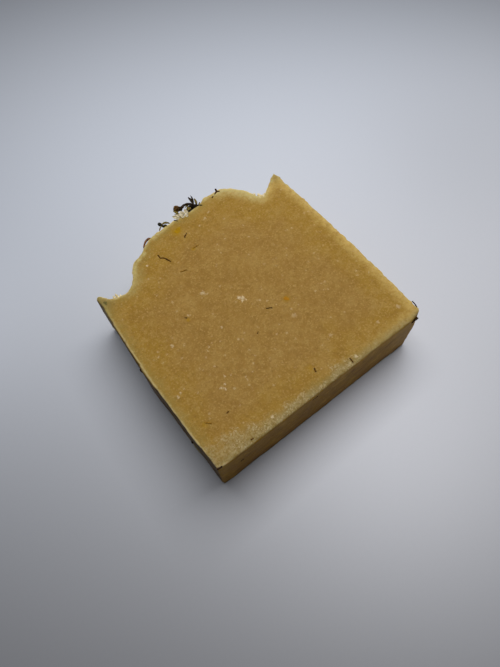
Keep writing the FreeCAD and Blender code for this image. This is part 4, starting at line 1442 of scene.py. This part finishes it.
@dataclass
class Stalks:
    """The loose stalk pieces: the curl and the twig on the crown, and those bedded in each side."""

    block: Slice

    # Ways of the crooked ones: place and radius. Millimetres.
    curl: Rows = (
        (23.9, 75.2, 21.9, 0.20), (24.2, 77.0, 22.0, 0.26), (25.3, 78.3, 22.1, 0.32),
        (26.7, 79.3, 22.1, 0.38), (28.3, 79.4, 22.1, 0.46), (28.9, 77.6, 22.0, 0.38),
    )
    twig: Rows = (
        (56.9, 80.2, 23.15, 0.26), (57.6, 80.6, 23.10, 0.34), (58.3, 80.8, 23.00, 0.46),
        (58.5, 81.4, 23.05, 0.38), (58.7, 82.2, 23.05, 0.30),
    )
    fork: Rows = (
        (58.2, 80.9, 23.0, 0.40), (58.8, 80.6, 23.0, 0.44), (59.2, 80.2, 23.1, 0.30),
    )
    petal_stem: Rows = (
        (38.8, 79.7, 23.26, 0.15), (39.2, 79.2, 23.30, 0.20), (39.7, 78.5, 23.32, 0.15),
    )

    # Stalk pieces that stick out at the edges: at the left corner, beside the right one, on the left
    # side, and in the base below the right corner.
    corner_piece: Rows = (
        (0.05, 0.70, 23.05, 0.28), (0.80, 0.50, 23.14, 0.30), (1.75, 0.42, 23.12, 0.24),
    )
    rim_piece: Rows = (
        (80.35, 2.5, 22.7, 0.18), (80.75, 3.4, 22.8, 0.20), (80.80, 5.1, 22.8, 0.15),
    )
    left_piece: Rows = (
        (-0.60, 39.2, 20.4, 0.26), (-0.78, 39.9, 20.2, 0.28), (-0.60, 40.6, 20.0, 0.24),
    )
    base_piece: Rows = (
        (76.3, 0.30, 20.4, 0.30), (77.4, 0.15, 20.6, 0.42), (78.9, 0.15, 20.9, 0.40),
    )

    # Straight rods of the frame that a crooked piece stands for or that are golden: across and up.
    base_place: tuple[float, float] = (76.2, 0.1)
    long_place: tuple[float, float] = (27.2, 68.2)
    golden_places: tuple[tuple[float, float], ...] = ((38.4, 65.6), (29.6, 60.0), (5.8, 12.8))
    long_sliver: Rows = (
        (26.25, 70.8, 23.30, 0.20), (26.40, 70.1, 23.30, 0.26), (26.15, 69.2, 23.29, 0.17),
        (27.00, 68.8, 23.30, 0.24), (27.50, 68.1, 23.29, 0.18), (27.80, 67.3, 23.28, 0.30),
        (28.10, 66.6, 23.29, 0.18), (28.30, 65.7, 23.30, 0.16),
    )

    # How the slivers are drawn: their radii, the lift of those in the upper face, how far they sway to
    # each side and over, the length from which they sway fully, and their knots' spacing. Millimetres.
    face_radius: float = 0.23
    sliver_radius: float = 0.22
    lift: float = 0.14
    crook: float = 0.16
    crook_over: float = 0.05
    crook_length: float = 2.5
    knot_spacing: float = 0.8

    def build(self) -> None:
        """Makes every stalk piece and hands them over."""
        self._hand("curled_stalk_piece", self._ways("curl"), Plants.curl, "curled_stalk", 5)
        twig = self._ways("twig", "fork", "petal_stem")
        self._hand("edge_twig_piece", twig, Plants.stalk, "edge_twig", 6)
        dark, golden = self._ways("long_sliver"), []
        for number, rod in enumerate(Bench.islands("face_stalks")):
            if self._among(rod, self.long_place, 3.4):
                continue
            lifted = Rod(rod.centre + Vector((0, 0, self.lift * MM)), rod.axis, rod.length)
            pale = any(self._among(rod, place, 1.0) for place in self.golden_places)
            sliver = self._sliver(f"sliver_{number}", lifted, self.face_radius, number)
            (golden if pale else dark).append(sliver)
        self._hand("dark_face_slivers", dark, Plants.sliver, "face_stalks", 7)
        self._hand("golden_face_slivers", golden, Plants.golden_sliver, "face_stalks", 7)
        rods = [rod for rod in Bench.islands("side_stalks") if not self._among(rod, self.base_place, 1.0)]
        sides = self._slivers("side", rods, 40)
        sides += self._ways("corner_piece", "rim_piece", "left_piece", "base_piece")
        self._hand("side_slivers", sides, Plants.stalk, "side_stalks", 8)
        tops = self._slivers("top", Bench.islands("top_stalks"), 60)
        self._hand("top_slivers", tops, Plants.stalk, "top_stalks", 9)

    def _among(self, rod: Rod, place: tuple[float, float], reach: float) -> bool:
        """Whether a rod's middle is near a place on the face, both in millimetres."""
        spot = self.block.at(*place, 0.0)
        return math.hypot(rod.centre.x - spot.x, rod.centre.y - spot.y) < reach * MM

    def _ways(self, *names: str) -> list[bpy.types.Object]:
        """Draws stems along the written ways of those names."""
        return [Bench.way(name, self.block, getattr(self, name)) for name in names]

    def _slivers(self, name: str, rods: list[Rod], seed: int) -> list[bpy.types.Object]:
        """Draws a crooked stem in the place of each rod, with seeds counted from the first."""
        radius = self.sliver_radius
        return [self._sliver(f"{name}_{n}", rod, radius, n + seed) for n, rod in enumerate(rods)]

    def _sliver(self, name: str, rod: Rod, radius: float, seed: int) -> bpy.types.Object:
        """Draws a crooked stem in the place of one straight rod of the frame.

        Args:
            name: the piece's name.
            rod: the rod.
            radius: the stem's radius in millimetres, about.
            seed: which crook.

        Returns:
            The stem.
        """
        dice = random.Random(seed)
        count = 4 + int(rod.length / (self.knot_spacing * MM))
        across = rod.axis.orthogonal().normalized()
        over = rod.axis.cross(across)
        crook = self.crook * min(1.0, rod.length / (self.crook_length * MM))
        flat = self.crook_over
        points, radii = [], []
        for step in range(count):
            along = (step / (count - 1) - 0.5) * rod.length * 0.98
            sway = across * dice.uniform(-crook, crook) * MM + over * dice.uniform(-flat, flat) * MM
            points.append(rod.centre + rod.axis * along + sway)
            radii.append(radius * dice.uniform(0.65, 1.25))
        return Bench.stem(name, points, radii)

    @staticmethod
    def _hand(name: str, parts: list[bpy.types.Object], finish: PlantFinish, node: str, seed: int) -> None:
        """Joins stems, roughens them and hands them over."""
        piece = Bench.join(name, parts)
        Bench.wrinkle(piece, 0.35 * MM, 0.05 * MM, seed)
        Bench.smooth(piece, 60)
        Bench.hand_over(piece, finish.material(), "dry_stalk", node)


@dataclass
class Crumbs:
    """Small pale crumbs of soap that the comb left in the two dips."""

    block: Slice
    soap: bpy.types.Object

    # A height clear above the crown, from which the seats are found. Millimetres.
    above: float = 95.0

    # Across, height through the thickness, radius, and how far each stands up. Millimetres.
    rows: Rows = (
        (68.2, 22.9, 0.50, 0.6), (69.2, 22.8, 0.75, 0.8), (70.3, 22.7, 0.80, 0.9), (71.3, 22.8, 0.55, 0.6),
        (69.8, 21.8, 0.60, 1.3), (66.6, 22.4, 0.34, 0.8), (65.2, 22.0, 0.30, 0.6), (6.2, 22.3, 0.36, 1.2),
        (7.2, 22.0, 0.42, 1.7), (8.1, 22.4, 0.34, 0.9), (72.6, 18.0, 0.60, 0.7), (70.9, 14.5, 0.50, 0.6),
        (9.0, 15.0, 0.60, 0.7), (7.0, 10.5, 0.50, 0.6), (71.5, 8.0, 0.55, 0.6),
    )

    def build(self) -> None:
        """Makes the crumbs, each seated on the combed top, and hands them over."""
        mesh = self.soap.data
        faces = [tuple(face.vertices) for face in mesh.polygons]
        tree = BVHTree.FromPolygons([vertex.co for vertex in mesh.vertices], faces)
        made = []
        for number, (across, rise, radius, tall) in enumerate(self.rows):
            over = self.block.at(across, self.above, rise)
            seat = tree.ray_cast(over, Vector((0, -1, 0)))[0]
            lean = Vector((math.sin(number * 2.3) * 0.25, 1.0, math.cos(number * 1.7) * 0.25))
            crumb = Bench.ball(f"crumb_{number}", seat, (radius, radius * 0.8, max(radius, tall)), lean)
            Bench.wrinkle(crumb, 0.45 * MM, 0.22 * MM, 100 + number)
            points = Bench.points(crumb)
            points[:, 2] = np.minimum(points[:, 2], self.block.thickness)
            Bench.move(crumb, points)
            made.append(crumb)
        crumbs = Bench.join("soap_crumbs", made)
        Bench.smooth(crumbs, 50)
        Bench.hand_over(crumbs, Plants.crumb.material(), "soap", "soap_bar")


@dataclass
class BeddedFlakes:
    """Single petal and leaf pieces that the wire cut through, flush with the upper face.

    Their thickness and how far they stand proud are in millimetres.
    """

    block: Slice
    thickness: float = 0.3
    proud: float = 0.015

    def build(self) -> None:
        """Makes the three flakes and hands them over."""
        self._flake("yellow_flake", (37.35, 75.15), (2.7, 1.8), 28, 1, Plants.yellow_petal, "yellow_petal")
        self._flake("orange_flake", (49.6, 30.65), (1.9, 1.2), -55, 2, Plants.orange_petal, "orange_petal")
        self._flake("leaf_flake", (2.7, 65.7), (1.5, 0.9), -75, 3, Plants.green_leaf, "leaf_piece")

    def _flake(
        self,
        name: str,
        place: tuple[float, float],
        size: tuple[float, float],
        turn: float,
        seed: int,
        finish: PlantFinish,
        node: str,
    ) -> None:
        """Makes one flake: a thin torn patch whose top is level with the cut face.

        Args:
            name: the piece's name.
            place: its middle on the cut face, in millimetres.
            size: length and width in millimetres.
            turn: the angle of its length, in degrees.
            seed: which torn outline.
            finish: its material.
            node: the CAD node that it replaces.
        """
        top = self.block.thickness / MM + self.proud
        centre = self.block.at(*place, top - self.thickness / 2)
        add = bpy.ops.mesh.primitive_cylinder_add
        depth = self.thickness * MM
        piece = Bench.new(name, add, vertices=40, radius=0.5, depth=depth, end_fill_type="TRIFAN")
        points = Bench.points(piece)
        angle = np.arctan2(points[:, 1], points[:, 0])
        torn = 1 + 0.12 * np.sin(3 * angle + seed) + 0.08 * np.sin(5 * angle + 2 * seed)
        torn = torn + 0.04 * np.sin(11 * angle)
        points[:, 0] *= size[0] * MM * torn
        points[:, 1] *= size[1] * MM * torn
        spin = np.array(Matrix.Rotation(math.radians(turn), 3, "Z"))
        Bench.move(piece, points @ spin.T + np.array(centre))
        slot = "leaf" if node == "leaf_piece" else node
        Bench.hand_over(piece, finish.material(), slot, node)


@dataclass(frozen=True)
class Studio:
    """The floor, the light and the camera: places in millimetres, angles in degrees, sizes in metres."""

    camera_place: Point = (-46.6, -69.2, 163.6)
    camera_yaw: float = 35.15
    camera_pitch: float = 64.03
    camera_roll: float = -2.83
    lens: float = 26.99
    panel_place: Point = (218, 158, 600)
    panel_size: tuple[float, float] = (0.70, 0.53)
    panel_power: float = 5.95
    ambient: float = 0.05
    ambient_colour: Colour = (0.95, 0.98, 1.06)
    floor_width: float = 6.0
    floor_cool: Colour = (0.550, 0.583, 0.655)
    floor_warm: Colour = (0.576, 0.583, 0.622)
    # The darkest level of the table's painted shade.
    deepest_painted_shade: float = -1.6

    # The table's painted light and shade: a smooth curve over the place in decimetres, then soft pools
    # of painted light with their middle and reach in millimetres and their strength.
    painted_light_curve: tuple[float, ...] = (-0.187, 0.290, 0.216, -0.226, -0.202, -0.236)
    painted_light_pools: Rows = ((1.1, -77.0, 52.7, 0.33), (120.6, 3.2, 49.0, -0.12), (-103.1, 64.3, 44.4, 0.22))

    def build(self) -> None:
        """Makes the camera, the light and the floor."""
        self._camera()
        self._light()
        self._world()
        self._floor()
        bpy.context.scene.view_settings.view_transform = "Standard"

    def _camera(self) -> None:
        """Puts the camera where the photograph was taken from."""
        data = bpy.data.cameras.new("camera")
        data.lens = self.lens
        data.clip_start = 0.005
        camera = Bench.link("camera", data)
        yaw, pitch, roll = map(math.radians, (self.camera_yaw, self.camera_pitch, self.camera_roll))
        flat = math.cos(pitch)
        forward = Vector((math.sin(yaw) * flat, math.cos(yaw) * flat, -math.sin(pitch)))
        level = Vector((math.cos(yaw), -math.sin(yaw), 0.0))
        upward = level.cross(forward)
        right = level * math.cos(roll) + upward * math.sin(roll)
        top = -level * math.sin(roll) + upward * math.cos(roll)
        turn = Matrix((right, top, -forward)).transposed().to_4x4()
        camera.matrix_world = Matrix.Translation(Vector(self.camera_place) * MM) @ turn
        bpy.context.scene.camera = camera

    def _light(self) -> None:
        """Hangs a large soft panel above, at the level where colours come out as written."""
        data = bpy.data.lights.new("soft_panel", "AREA")
        data.shape = "RECTANGLE"
        data.size, data.size_y = self.panel_size
        data.energy = self.panel_power
        Bench.link("soft_panel", data).location = Vector(self.panel_place) * MM

    def _world(self) -> None:
        """Fills the shadows a little, and shows the camera a pale background."""
        world = bpy.data.worlds.new("world")
        world.use_nodes = True
        tree = world.node_tree
        tree.nodes.clear()
        kinds = ("LightPath", "Background", "Background", "MixShader", "OutputWorld")
        path, seen, fill, mix, output = [tree.nodes.new(f"ShaderNode{kind}") for kind in kinds]
        seen.inputs["Color"].default_value = (*self.floor_cool, 1.0)
        fill.inputs["Color"].default_value = (*self.ambient_colour, 1.0)
        fill.inputs["Strength"].default_value = self.ambient
        tree.links.new(path.outputs["Is Camera Ray"], mix.inputs[0])
        tree.links.new(fill.outputs[0], mix.inputs[1])
        tree.links.new(seen.outputs[0], mix.inputs[2])
        tree.links.new(mix.outputs[0], output.inputs["Surface"])
        bpy.context.scene.world = world

    def _floor(self) -> None:
        """Lays the pale table, with painted light brightest beyond the bar and painted shade towards the
        viewer.
        """
        floor = Bench.new("table_top", bpy.ops.mesh.primitive_plane_add, size=self.floor_width)
        floor.location.z = -0.05 * MM
        Bench.place(floor)
        s = Shader("table_top")
        place = s.millimetres()
        across, away, _ = s.axes(s.scaled(place, 0.01))
        # Painted light and shade on the table: a smooth curve, a limit to its darkness and soft pools.
        base, to_right, to_back, right_bend, twist, back_bend = self.painted_light_curve
        level = base + across * to_right + away * to_back + across * across * right_bend
        level = level + across * away * twist + away * away * back_bend
        level = s.math("MAXIMUM", level, self.deepest_painted_shade)
        for x, y, reach, strength in self.painted_light_pools:
            near = s.vector("DISTANCE", place, (x, y, 0.0), output="Value") * (1 / reach)
            level = level + s.math("EXPONENT", near * near * -1.0) * strength
        level = s.math("EXPONENT", level)
        tint = s.blend(s.step(away, -1.1, 1.3), self.floor_warm, self.floor_cool)
        grain = s.noise(place, 1.2, 3.0)
        colour = s.scaled(tint, level * (0.985 + grain * 0.03))
        inputs = {"Base Color": colour, "Roughness": 0.7 + grain * 0.1, "Specular IOR Level": 0.1}
        floor.data.materials.append(s.finish(inputs))


def main() -> None:
    """Builds the studio and the bar."""
    logging.basicConfig(level=logging.INFO, format="%(message)s")
    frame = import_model()
    Bench.nodes = frame["nodes"]
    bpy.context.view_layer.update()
    Studio().build()
    block = Slice.from_frame()
    soap = SoapBlock(block).build(SoapFinish())
    Crumbs(block, soap).build()
    FlowerSprig(block).build()
    PalePetals(block).build()
    SeedHead(block).build()
    Stalks(block).build()
    BeddedFlakes(block).build()


if __name__ == "__main__":
    main()
